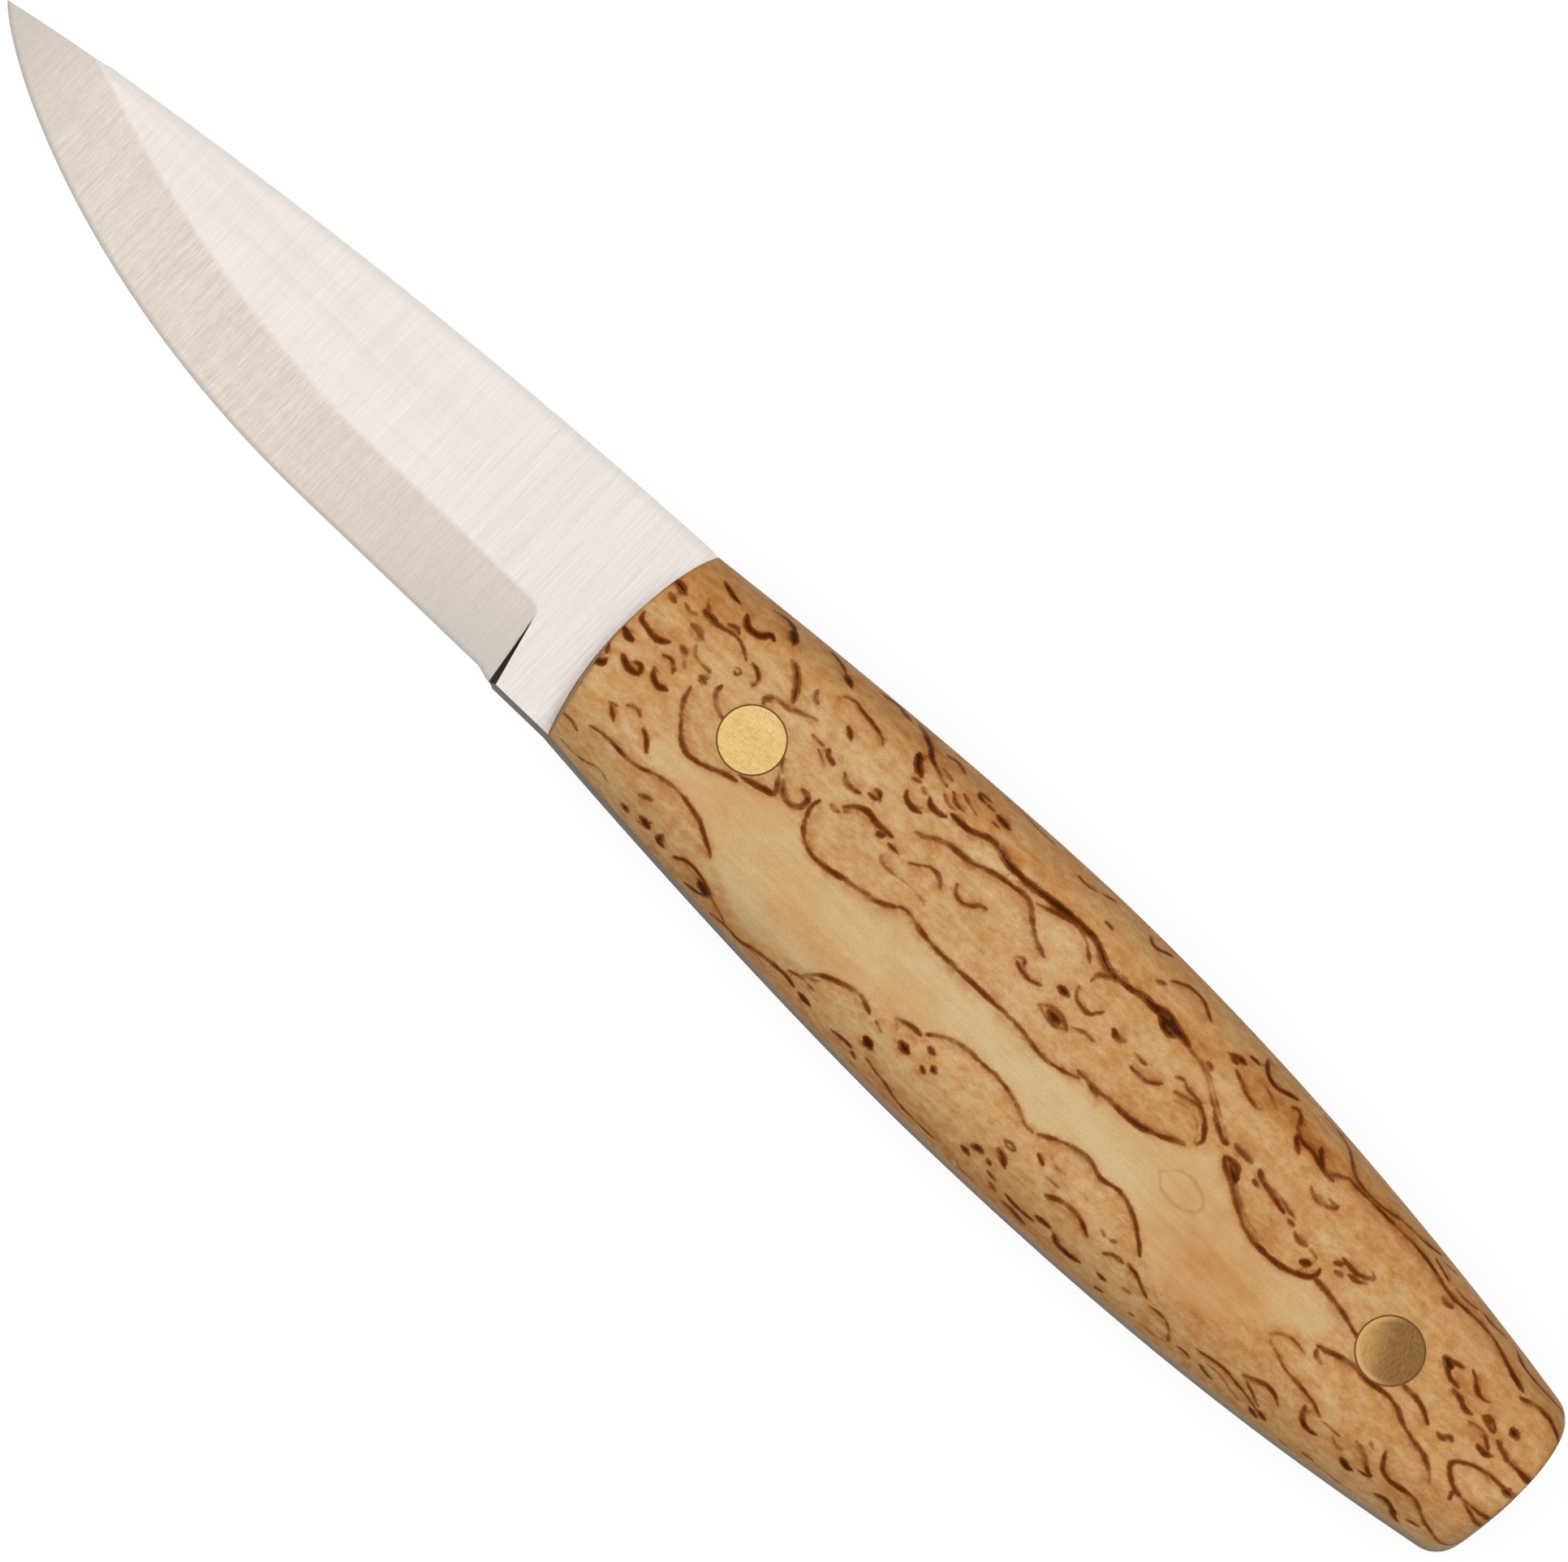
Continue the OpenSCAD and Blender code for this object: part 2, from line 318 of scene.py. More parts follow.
def plus(tree, a, b):
    return reckoned(tree, "ADD", a, b)


def vectors(tree, operation, a, b, output="Vector"):
    return put(tree, "VectorMath", {0: a, 1: b}, operation=operation).outputs[output]


def noise(tree, place, scale, detail, roughness):
    """An uneven pattern, from 0 to 1."""
    values = {"Vector": place, "Scale": scale, "Detail": detail, "Roughness": roughness}
    return put(tree, "TexNoise", values).outputs["Fac"]


def own_place(tree):
    return put(tree, "TexCoord").outputs["Object"]


def carried(tree, name):
    """A value that the mesh carries at its points."""
    return put(tree, "Attribute", attribute_type="GEOMETRY", attribute_name=name).outputs["Fac"]


def relief(tree, height, strength, depth):
    return put(tree, "Bump", {"Height": height, "Strength": strength, "Distance": depth}).outputs["Normal"]


def new_finish(name, **sockets):
    """A material with its main shader, whose even values are set on the shader itself."""
    material = bpy.data.materials.new(name)
    material.use_nodes = True
    shader = material.node_tree.nodes["Principled BSDF"]
    for key, value in sockets.items():
        shader.inputs[key.replace("_", " ")].default_value = value
    return material, material.node_tree, shader


def grinding_group():
    """Marks that an abrasive belt leaves: fine lines, and broader streaks of the same direction."""
    group = bpy.data.node_groups.new("ground_lines", "ShaderNodeTree")
    for name in ("Position", "Stretch"):
        group.interface.new_socket(name, in_out="INPUT", socket_type="NodeSocketVector")
    for name in ("Lines", "Streaks"):
        group.interface.new_socket(name, in_out="OUTPUT", socket_type="NodeSocketFloat")
    given = group.nodes.new("NodeGroupInput").outputs
    result = group.nodes.new("NodeGroupOutput")
    laid = vectors(group, "MULTIPLY", given["Position"], given["Stretch"])
    feed(group, result, Lines=noise(group, laid, 1.0, 5.0, 0.7), Streaks=noise(group, laid, 0.13, 3.0, 0.6))
    return group


ground_lines = grinding_group()


def ground_marks(tree, stretch, turn=0.0):
    """Places the belt marks in a material, turned about the direction that faces out of the knife."""
    position = own_place(tree)
    if turn:
        turning = {"Vector": position, "Angle": math.radians(turn)}
        position = put(tree, "VectorRotate", turning, rotation_type="Z_AXIS").outputs[0]
    marks = put(tree, "Group", node_tree=ground_lines)
    marks.inputs["Stretch"].default_value = stretch
    feed(tree, marks, Position=position)
    return marks.outputs["Lines"], marks.outputs["Streaks"]


def worked_metal(name, stretch, turn, roughness, depth):
    """Bare metal whose belt lines change its gloss and, a little, its surface. Its colour comes later."""
    material, tree, shader = new_finish(name, Metallic=1.0)
    lines, streaks = ground_marks(tree, stretch, turn)
    gloss = ranged(tree, lines, 0.25, 0.75, roughness - 0.06, roughness + 0.08)
    feed(tree, shader, Roughness=gloss, Normal=relief(tree, lines, 0.3, depth))
    return material, tree, shader, lines, streaks


def steel_finish(name, stretch, roughness, depth):
    """Ground steel with the mask of its belt marks and the place on it, both for its colour."""
    material, tree, shader, lines, streaks = worked_metal(name, stretch, 0.0, roughness, depth)
    marks = plus(tree, ranged(tree, lines, 0.3, 0.7, 0, 0.7), ranged(tree, streaks, 0.3, 0.7, 0, 0.3))
    place = put(tree, "SeparateXYZ", {0: own_place(tree)}).outputs
    return material, tree, shader, marks, place


def flat_finish():
    """Linished across, coarser behind the plunge, with faint marks along the blade, a little glue haze, and
    painted shade in a band under the spine.
    """
    material, tree, shader, cross, place = steel_finish("linished_flat", (16000, 240, 240), 0.24, 0.000003)
    behind_plunge, before_plunge = -0.026, -0.04
    coarse = times(tree, cross, ranged(tree, place["X"], before_plunge, behind_plunge, 0.6, 0.88))
    colour = tint(tree, coarse, srgb(250, 242, 237), srgb(223, 213, 206))
    along = ground_marks(tree, (22, 800, 800))[0]
    fore = ranged(tree, place["X"], behind_plunge, before_plunge, 0.0, 0.3)
    colour = tint(tree, times(tree, ranged(tree, along, 0.42, 0.8), fore), colour, srgb(222, 209, 197))
    # Painted shade: the flat is darker in a band up to 1.1 mm under the spine, for the shaded spine edge.
    spine_start, spine_stop = ((FRONT_X + x) * MM for x in (tip[0], spine_end[0]))
    reach = {"Value": place["X"], "From Min": spine_start, "From Max": spine_stop}
    share = put(tree, "MapRange", reach, clamp=False).outputs["Result"]
    bow = times(tree, share, reckoned(tree, "SUBTRACT", 1.0, share))
    heights = {"Value": share, "To Min": tip[1] * MM, "To Max": spine_end[1] * MM}
    straight = put(tree, "MapRange", heights, clamp=False).outputs["Result"]
    spine = plus(tree, times(tree, bow, 4 * spine_bow * MM), straight)
    below = reckoned(tree, "SUBTRACT", spine, place["Y"])
    colour = tint(tree, ranged(tree, below, 0.0011, 0.0, 0.0, 0.5), colour, srgb(214, 207, 199))
    near_front = ranged(tree, place["X"], -0.0162, -0.0144)
    near_scale = times(tree, near_front, ranged(tree, place["Y"], -0.005, -0.0105))
    haze = times(tree, near_scale, ranged(tree, along, 0.3, 0.7, 0.1, 0.7))
    feed(tree, shader, Base_Color=tint(tree, haze, colour, srgb(196, 191, 184)))
    return material


def bevel_finish():
    """Ground across, brightest along the belly, duller towards the tip and the heel, with a painted highlight
    along the grind line and painted shade along the cutting edge.
    """
    material, tree, shader, cross, place = steel_finish("ground_bevel", (30000, 1000, 1000), 0.26, 0.000002)
    colour = tint(tree, cross, srgb(248, 237, 225), srgb(206, 193, 179))
    along = ground_marks(tree, (30, 1000, 1000))[0]
    colour = tint(tree, ranged(tree, along, 0.42, 0.78, 0.0, 0.4), colour, srgb(222, 203, 183))
    low_down = ranged(tree, place["Y"], -0.002, -0.01, 0.5, 1.0)
    heel = times(tree, ranged(tree, place["X"], -0.052, -0.02), low_down)
    dull = times(tree, plus(tree, ranged(tree, place["X"], -0.076, -0.093), heel), 0.8)
    colour = tint(tree, dull, colour, srgb(204, 196, 187))
    # Painted highlight in a pale band along the grind line, and painted shade in a darker band along the
    # cutting edge.
    rise = carried(tree, "bevel_rise")
    colour = tint(tree, ranged(tree, rise, 0.93, 1.0, 0.0, 0.7), colour, srgb(242, 233, 227))
    colour = tint(tree, ranged(tree, rise, 0.08, 0.0, 0.0, 0.8), colour, srgb(182, 175, 169))
    feed(tree, shader, Base_Color=colour)
    return material


def edge_finish(name, pale, dull, stretch):
    """Edges left from sanding, darker than the sides even at a glancing view, and browner in the handle. The
    darkness of their colours is painted shade.
    """
    material, tree, shader, marks, place = steel_finish(name, stretch, 0.42, 0.000006)
    shader.inputs["Specular Tint"].default_value = (0.5, 0.48, 0.46, 1.0)
    colour = tint(tree, marks, pale, dull)
    upper = ranged(tree, place["Z"], 0.0078, 0.0104, 0.1, 0.9)
    held = times(tree, ranged(tree, place["X"], -0.006, 0.03), upper)
    feed(tree, shader, Base_Color=tint(tree, held, colour, srgb(164, 136, 104)))
    return material


# The plunge wall, the tang's edges and the eased spine get steel colours far darker than the flats: painted
# shade.
blade_finishes = (
    flat_finish(),
    bevel_finish(),
    edge_finish("plunge_wall", srgb(96, 92, 89), srgb(58, 55, 53), (300, 300, 3000)),
    edge_finish("sanded_edge", srgb(140, 132, 123), srgb(108, 101, 94), (90, 2600, 5200)),
    edge_finish("eased_spine", srgb(198, 193, 188), srgb(172, 167, 162), (14000, 260, 260)),
)
blade = add_piece("blade_and_tang", blade_mesh(), *blade_finishes)
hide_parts("blade")
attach(blade, "root")

# Bond under the scales
# A thin film of dark epoxy that holds each scale to the tang. A narrow uneven bead of it was squeezed out
# at the front of the scale and stayed in the corner against the steel.
bond_t = 0.1
bead_under = 0.06
bead_thin = 0.01
bead_thick = 0.06
bead_top = 1.0
bead_run = 8.0
bead_least = 0.6
bead_most = 1.4
front_steps = 90
# Waves that make the bead uneven: size, rate along the front, and start
bead_waves = ((0.2, 1.9, 0.6), (0.16, 5.3, 0.0), (0.14, 11.0, 2.0))


def bond_mesh(mirrored):
    """The film on the tang's outline, and the bead along its front, thicker towards the edge side."""
    bm = bmesh.new()
    sign = -1 if mirrored else 1
    across = np.linspace(half_ricasso, -half_ricasso, front_steps)
    front = np.column_stack([front_bow * (across / half_ricasso) ** 2, across])[::-1]
    outline = np.concatenate([handle_outline(), front[1:-1]])

    def vertex(x, y, up):
        return bm.verts.new((x + FRONT_X, y, STEEL_Z + sign * (half_steel + up)))

    levels = [[vertex(x, y, up) for x, y in outline] for up in (0, bond_t)]
    for loop in levels:
        bm.faces.new(loop)
    bands(bm, levels)
    bead = []
    for x, y in front:
        uneven = 0.5 + sum(size * math.sin(rate * y + start) for size, rate, start in bead_waves)
        growth = smooth(np.clip((bead_top - y) / bead_run, 0, 1))
        wide = mix(bead_thin, bead_thick, growth) * mix(bead_least, bead_most, uneven)
        hollow = ((-wide, 0.0), (-0.45 * wide, 0.3 * wide), (-0.12 * wide, 0.75 * wide))
        profile = ((bead_under, 0.0), *hollow, (bead_under, wide + bond_t))
        bead.append([vertex(x + along, y, up) for along, up in profile])
    bands(bm, bead)
    bm.faces.new(bead[0])
    bm.faces.new(bead[-1])
    return bm


def resin_finish():
    """Dark epoxy, slightly cloudy, with a soft gloss."""
    material, tree, shader = new_finish("dark_epoxy", Specular_IOR_Level=0.1)
    cloudy = noise(tree, own_place(tree), 1400.0, 3.0, 0.5)
    feed(
        tree, shader, Base_Color=tint(tree, cloudy, srgb(92, 60, 32), srgb(136, 94, 54)),
        Roughness=ranged(tree, cloudy, 0.3, 0.7, 0.3, 0.45), Normal=relief(tree, cloudy, 0.3, 0.00002),
    )
    return material


resin = resin_finish()
for side_name, is_right in (("left", False), ("right", True)):
    bond = add_piece(side_name + "_bond_film", bond_mesh(is_right), resin)
    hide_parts(side_name + "_bond")
    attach(bond, "root")

# Scales
# Two slabs of figured birch, shaped together with the tang after gluing: flat sides, rounded shoulders, and
# front and butt ends rounded over. Dark bark flecks and growth lines wander through the pale wood.
scale_t = 7.399
scale_foot = half_steel + bond_t
shoulder_w = 6.0
shoulder_low = math.asin(scale_foot / STEEL_Z)
end_r = 0.5
end_draft = 0.1
bore_r = 3.15
pin_xs = (-1.1, 75.1)
# The figure is placed as it shows from this far round towards the edge side
seen_tilt = math.radians(9.4)

# Lines of the figure: width in millimetres, darkness, and points along the line on the left scale
figure_lines = [
    (0.50, 1.00, [(-12.2, 8.4), (-11.3, 8.1), (-10.0, 7.95)]),
    (0.50, 1.00, [(-7.4, 9.6), (-6.0, 9.85), (-5.0, 9.6), (-4.4, 9.1), (-4.2, 8.4)]),
    (0.58, 1.00, [(-8.8, 7.6), (-8.3, 7.0), (-7.5, 6.85), (-6.6, 7.2), (-6.2, 7.8), (-5.6, 7.6)]),
    (0.55, 0.95, [(-3.4, 7.4), (-2.6, 7.2), (-1.7, 6.4), (-1.1, 5.5), (-0.8, 4.9)]),
    (0.45, 1.00, [(-1.2, 10.5), (0.2, 10.2), (1.2, 9.6), (1.9, 9.4)]),
    (0.32, 0.80, [(1.8, 8.0), (2.4, 8.5), (3.2, 8.7), (4.2, 8.5), (5.6, 8.35), (6.8, 8.1), (7.4, 7.6)]),
    (0.70, 1.00, [(4.4, 10.9), (6.0, 11.1), (7.6, 10.9)]),
    (0.50, 0.90, [(8.6, 11.2), (10.2, 10.6), (11.2, 9.8), (12.8, 9.2)]),
    (0.60, 1.00, [(10.2, 9.3), (10.7, 8.5), (11.6, 8.0)]),
    (0.30, 0.75, [
        (-12.2, 6.3), (-11.4, 5.5), (-10.2, 5.2), (-9.0, 5.5), (-8.0, 5.6), (-7.0, 5.2), (-6.2, 4.7),
    ]),
    (0.35, 0.80, [(-9.4, 5.9), (-8.7, 6.2), (-8.2, 5.9)]),
    (0.40, 0.90, [(-11.7, 5.3), (-10.8, 5.3), (-10.2, 5.2)]),
    (0.55, 1.00, [(-15.4, 5.5), (-14.6, 5.4), (-14.0, 5.2)]),
    (0.35, 0.85, [(-14.9, 4.3), (-14.2, 4.1)]),
    (0.46, 0.90, [(-11.8, 3.6), (-11.0, 3.75), (-10.2, 3.4)]),
    (0.25, 0.70, [(-10.2, 2.6), (-9.6, 1.9), (-8.6, 1.75), (-7.8, 1.75)]),
    (0.40, 0.85, [(-15.4, 1.6), (-15.2, 1.0), (-14.2, 0.7), (-13.0, 0.65), (-12.1, 1.2)]),
    (0.30, 0.60, [(-11.0, 1.6), (-10.4, 1.5)]),
    (0.25, 0.60, [(-10.0, 0.8), (-9.6, 0.5)]),
    (0.50, 1.00, [(-8.0, 0.9), (-7.5, 0.75)]),
    (0.50, 1.00, [(-15.8, -0.6), (-15.0, -0.9), (-14.6, -0.85)]),
    (0.35, 0.90, [(-11.7, 0.0), (-10.9, 0.2), (-10.2, -0.2), (-10.0, -0.6)]),
    (0.45, 1.00, [(-11.5, -1.3), (-11.0, -2.0), (-10.2, -2.3), (-9.4, -2.0)]),
    (0.50, 1.00, [(-14.3, -2.4), (-13.3, -2.9), (-12.2, -2.7), (-12.4, -2.0), (-13.0, -2.1)]),
    (0.35, 0.90, [(-15.9, -2.4), (-15.4, -3.2)]),
    (0.40, 1.00, [(-15.9, -4.4), (-15.2, -4.2), (-15.0, -3.7)]),
    (0.38, 0.85, [
        (-8.1, -0.4), (-7.7, -1.6), (-6.9, -2.8), (-5.8, -4.0), (-4.6, -4.7), (-3.4, -4.7), (-2.0, -4.3),
        (-0.8, -3.8), (0.4, -3.5),
    ]),
    (0.30, 0.75, [(-6.2, 1.6), (-6.2, 0.8), (-5.4, 0.0), (-4.6, -0.3), (-4.0, -0.4)]),
    (0.45, 0.85, [(0.2, -3.0), (1.5, -2.7), (2.8, -2.3), (3.5, -2.0), (3.0, -1.0), (2.4, -0.3)]),
    (0.40, 0.80, [(1.9, 0.9), (2.2, 0.2), (2.8, -0.2)]),
    (0.50, 0.90, [
        (3.2, -0.6), (4.0, -1.5), (5.0, -1.75), (5.8, -1.4), (6.0, -0.6), (5.6, -0.1), (5.0, -0.1),
    ]),
    (0.38, 0.85, [(-2.6, 3.0), (-2.6, 3.7), (-2.0, 4.1), (-0.6, 4.2), (0.6, 4.8), (1.8, 5.2)]),
    (0.25, 0.70, [(-6.4, 3.6), (-6.1, 3.75), (-5.8, 3.5), (-6.0, 3.2), (-6.3, 3.3)]),
    (0.40, 0.90, [(-5.6, 4.9), (-4.8, 4.6), (-4.3, 4.2), (-4.3, 3.5)]),
    (0.30, 0.70, [(0.1, 7.1), (0.3, 6.5), (0.8, 6.3)]),
    (0.30, 0.90, [(4.2, 6.6), (5.0, 6.0)]),
    (0.28, 0.85, [(4.3, 4.0), (4.6, 3.6), (5.4, 3.4)]),
    (0.20, 0.70, [(3.6, 3.4), (5.0, 2.7)]),
    (0.20, 0.60, [(2.4, 4.0), (3.6, 3.95)]),
    (0.42, 0.90, [(6.7, 3.5), (7.2, 3.1), (7.9, 2.95), (8.8, 3.2)]),
    (0.30, 0.90, [(9.5, 4.4), (10.0, 4.35), (10.5, 3.95)]),
    (0.25, 0.80, [(9.4, 3.7), (10.0, 3.75), (10.4, 3.95)]),
    (0.42, 0.95, [(13.4, 2.35), (11.4, 2.35), (10.2, 2.4), (9.2, 1.9), (8.6, 1.3)]),
    (0.36, 0.85, [
        (6.7, 0.3), (6.6, -0.8), (7.2, -2.2), (8.2, -3.2), (9.6, -3.65), (11.0, -3.6), (13.0, -3.2),
        (14.8, -2.9), (16.4, -2.6), (17.6, -2.0), (18.4, -1.5), (19.4, -1.5), (21.0, -1.9), (24.0, -2.1),
        (28.0, -2.05), (32.0, -1.95), (34.0, -2.2), (36.0, -2.4), (38.0, -2.1), (39.6, -1.5),
    ]),
    (0.45, 0.90, [
        (38.9, -1.2), (40.0, -1.2), (41.2, -1.45), (42.6, -1.15), (44.6, -1.15), (46.4, -0.85),
        (48.0, -0.3), (49.2, 0.3), (50.0, 0.6),
    ]),
    (0.35, 0.90, [(-10.9, -5.3), (-10.2, -4.95), (-9.4, -5.3)]),
    (0.35, 0.85, [(-12.1, -6.2), (-11.6, -6.6), (-10.9, -7.1)]),
    (0.25, 0.70, [(-12.2, -6.2), (-11.5, -6.0)]),
    (0.35, 0.85, [(-8.6, -5.8), (-7.8, -6.3), (-7.0, -7.1)]),
    (0.35, 0.85, [
        (-12.0, -8.9), (-10.4, -8.6), (-9.0, -8.65), (-7.4, -8.75), (-6.0, -8.35), (-4.6, -7.9),
        (-3.0, -7.75), (-1.2, -7.9), (0.4, -8.3), (1.8, -9.0), (2.9, -9.6), (3.3, -9.9),
    ]),
    (0.25, 0.60, [(-14.6, -9.7), (-13.6, -9.7), (-12.6, -10.0)]),
    (0.35, 0.80, [(-4.8, -10.3), (-4.3, -10.1), (-3.8, -9.9)]),
    (0.22, 0.60, [(-13.0, -11.6), (-11.4, -11.7), (-10.0, -11.4), (-8.8, -11.1), (-7.4, -11.5)]),
    (0.90, 1.00, [(-5.0, -12.0), (-4.9, -12.05)]),
    (1.10, 1.00, [(-3.0, -11.7), (-2.7, -11.8)]),
    (0.48, 0.90, [(-1.0, -11.4), (-0.9, -12.1), (-0.2, -12.2)]),
    (0.45, 0.95, [
        (1.0, -12.2), (1.8, -11.7), (3.0, -11.6), (4.4, -11.9), (5.4, -12.4), (4.9, -12.9), (3.2, -13.2),
    ]),
    (0.30, 0.85, [(5.0, -12.3), (6.4, -12.7), (8.0, -13.2)]),
    (0.45, 0.90, [
        (6.6, -13.5), (8.4, -13.4), (10.0, -13.5), (11.6, -13.2), (13.4, -12.9), (15.2, -12.9),
        (16.2, -13.1),
    ]),
    (0.40, 0.90, [(12.0, 10.9), (13.2, 11.1), (14.2, 10.8)]),
    (0.25, 0.80, [(11.0, 10.0), (11.8, 9.5), (13.0, 9.0), (13.8, 8.9)]),
    (0.30, 0.90, [(12.6, 9.8), (13.8, 9.6)]),
    (0.30, 0.85, [(14.6, 8.9), (15.4, 8.3), (16.4, 8.3)]),
    (0.35, 0.90, [(17.6, 10.6), (16.4, 10.5), (16.6, 10.2), (17.2, 10.15)]),
    (0.25, 0.80, [(17.6, 10.2), (18.2, 10.2)]),
    (0.60, 1.00, [(18.8, 10.1), (19.6, 10.0), (20.2, 9.95)]),
    (0.25, 0.70, [(18.8, 9.4), (19.5, 9.4)]),
    (0.55, 1.00, [
        (15.8, 7.4), (17.4, 7.35), (18.4, 7.6), (19.4, 8.1), (20.2, 8.2), (21.2, 8.0), (22.4, 7.7),
        (24.0, 7.65), (25.8, 7.8), (27.6, 8.0), (29.2, 8.2), (30.8, 8.25), (32.4, 8.1), (33.6, 7.6),
        (34.6, 7.15), (35.8, 7.05), (37.2, 7.2), (38.6, 7.45), (40.0, 7.5), (41.4, 7.5),
    ]),
    (0.28, 0.60, [
        (42.4, 7.2), (43.6, 7.0), (45.0, 6.9), (46.2, 6.7), (47.4, 6.2), (48.6, 5.4), (49.8, 4.6),
        (51.0, 3.9), (52.4, 3.2),
    ]),
    (0.18, 0.60, [(46.0, 7.0), (47.6, 6.4), (48.9, 5.6), (50.2, 4.8), (51.6, 4.0), (52.2, 3.6)]),
    (0.35, 0.90, [(13.4, 7.1), (14.0, 6.65), (14.8, 6.65), (15.6, 6.9)]),
    (0.35, 0.85, [(11.6, 6.2), (12.0, 5.6), (13.0, 5.4), (13.8, 5.6)]),
    (0.25, 0.70, [(11.2, 7.3), (11.9, 7.5)]),
    (0.25, 0.70, [(12.4, 7.3), (12.9, 7.1)]),
    (0.40, 0.85, [
        (14.6, 4.1), (15.4, 4.3), (16.4, 4.9), (17.6, 5.3), (19.0, 5.4), (20.2, 5.55), (21.2, 6.0),
        (22.6, 6.3), (24.0, 6.5), (25.2, 6.7), (26.2, 6.4), (27.0, 5.7), (28.0, 4.9), (29.0, 4.3),
        (30.0, 4.0),
    ]),
    (0.30, 0.75, [
        (26.4, 6.9), (27.4, 7.2), (28.6, 7.6), (29.8, 7.9), (31.0, 7.8), (32.0, 7.35), (32.8, 6.7),
        (33.2, 6.4),
    ]),
    (0.35, 0.80, [(20.3, 3.3), (20.8, 2.6), (21.6, 2.45), (22.4, 2.7), (23.0, 3.3), (23.6, 3.5)]),
    (0.35, 0.80, [(16.0, 1.7), (16.8, 2.2), (17.6, 2.75), (18.4, 2.8), (19.0, 2.5), (19.5, 2.0)]),
    (0.35, 0.85, [(13.6, 1.7), (14.8, 1.65)]),
    (0.40, 0.90, [(12.4, 1.7), (12.8, 1.95)]),
    (0.25, 0.70, [(13.9, 0.9), (14.0, 0.3), (14.8, 0.05), (16.0, 0.1)]),
    (0.15, 0.40, [(16.0, 0.2), (18.0, 0.3), (19.6, 0.0)]),
    (0.30, 0.75, [(28.2, 2.2), (28.9, 2.6), (29.3, 2.2)]),
    (0.40, 0.80, [(28.4, 2.1), (29.6, 1.7), (30.6, 1.65), (31.6, 2.0)]),
    (0.50, 0.85, [(32.9, 3.0), (33.8, 3.0)]),
    (0.80, 1.00, [(33.7, 0.85), (34.7, 0.8)]),
    (0.26, 0.80, [(32.5, 0.6), (33.3, 1.2), (34.3, 1.4), (35.2, 1.1), (35.9, 0.6)]),
    (0.26, 0.70, [(32.7, 0.6), (33.7, 0.3), (34.8, 0.3), (35.7, 0.6)]),
    (0.38, 0.80, [(34.0, 4.2), (34.3, 3.5), (35.2, 3.1), (36.2, 3.1), (36.7, 3.6), (37.0, 4.1)]),
    (0.45, 0.90, [(34.4, 5.3), (34.5, 6.0), (35.2, 6.6), (36.4, 7.0)]),
    (0.50, 0.90, [(38.8, 3.6), (39.4, 3.35), (40.2, 3.5)]),
    (0.40, 0.90, [(27.4, 11.2), (28.4, 11.1), (29.4, 11.3)]),
    (0.25, 0.70, [(30.0, 11.5), (31.6, 11.9)]),
    (0.35, 0.80, [(35.5, 11.7), (36.2, 11.3), (37.2, 11.5), (38.0, 11.8)]),
    (0.25, 0.70, [(31.8, 9.9), (32.6, 9.9)]),
    (0.25, 0.60, [(18.0, 11.7), (20.0, 11.85), (22.0, 11.7), (24.0, 11.75)]),
    (0.40, 0.85, [(39.4, 10.1), (40.2, 10.6), (41.2, 10.9), (42.4, 10.9), (43.4, 10.5), (44.3, 10.0)]),
    (0.30, 0.60, [(38.6, 9.3), (39.2, 9.6)]),
    (0.38, 0.85, [
        (16.0, -12.0), (16.6, -11.3), (17.4, -10.6), (18.6, -10.1), (19.8, -9.75), (20.8, -9.6),
        (21.8, -9.85), (22.6, -10.2),
    ]),
    (0.24, 0.75, [(24.4, -8.9), (25.3, -8.6), (26.2, -8.4), (27.0, -8.45)]),
    (0.25, 0.70, [(23.4, -10.3), (24.4, -10.6)]),
    (0.25, 0.60, [(24.6, -9.0), (25.2, -9.5)]),
    (0.32, 0.80, [
        (27.4, -8.0), (28.4, -7.3), (29.6, -6.75), (31.0, -6.5), (32.6, -6.5), (34.0, -6.45), (35.4, -6.6),
        (36.8, -6.9), (38.0, -7.4), (38.9, -7.8), (39.8, -7.8),
    ]),
    (0.34, 0.85, [
        (40.2, -7.6), (41.4, -7.0), (42.6, -6.5), (44.0, -6.15), (45.2, -6.15), (46.4, -6.55), (47.2, -6.5),
        (48.4, -6.3), (49.6, -6.4), (50.8, -6.9), (52.0, -7.6), (53.0, -8.4), (53.8, -9.1),
    ]),
    (0.45, 0.80, [(28.4, -8.7), (29.0, -8.8)]),
    (0.45, 0.85, [(29.7, -9.8), (30.1, -9.9)]),
    (0.40, 0.85, [(29.0, -10.4), (29.4, -10.6)]),
    (0.60, 1.00, [(26.3, -10.1), (27.2, -10.3)]),
    (0.70, 1.00, [(23.9, -12.0), (24.6, -12.3)]),
    (0.50, 1.00, [(17.0, -13.2), (18.2, -13.3)]),
    (0.40, 1.00, [(21.2, -13.5), (22.4, -13.4), (23.4, -13.4)]),
    (0.30, 0.80, [
        (25.0, -13.2), (26.4, -13.5), (27.8, -13.7), (29.6, -14.1), (32.0, -14.2), (34.0, -14.2),
    ]),
    (0.30, 0.90, [(23.8, -13.7), (24.2, -13.9)]),
    (0.20, 1.00, [(38.5, -10.0), (39.2, -9.8), (39.8, -10.0), (39.2, -10.3), (38.5, -10.0)]),
    (0.62, 1.00, [(38.7, -10.85), (39.4, -11.2), (40.1, -11.7)]),
    (0.55, 0.95, [(36.8, -12.3), (37.4, -12.1), (37.8, -12.1)]),
    (0.70, 0.95, [(36.5, -13.0), (36.9, -13.05)]),
    (0.35, 0.90, [(38.6, -12.2), (39.0, -12.4)]),
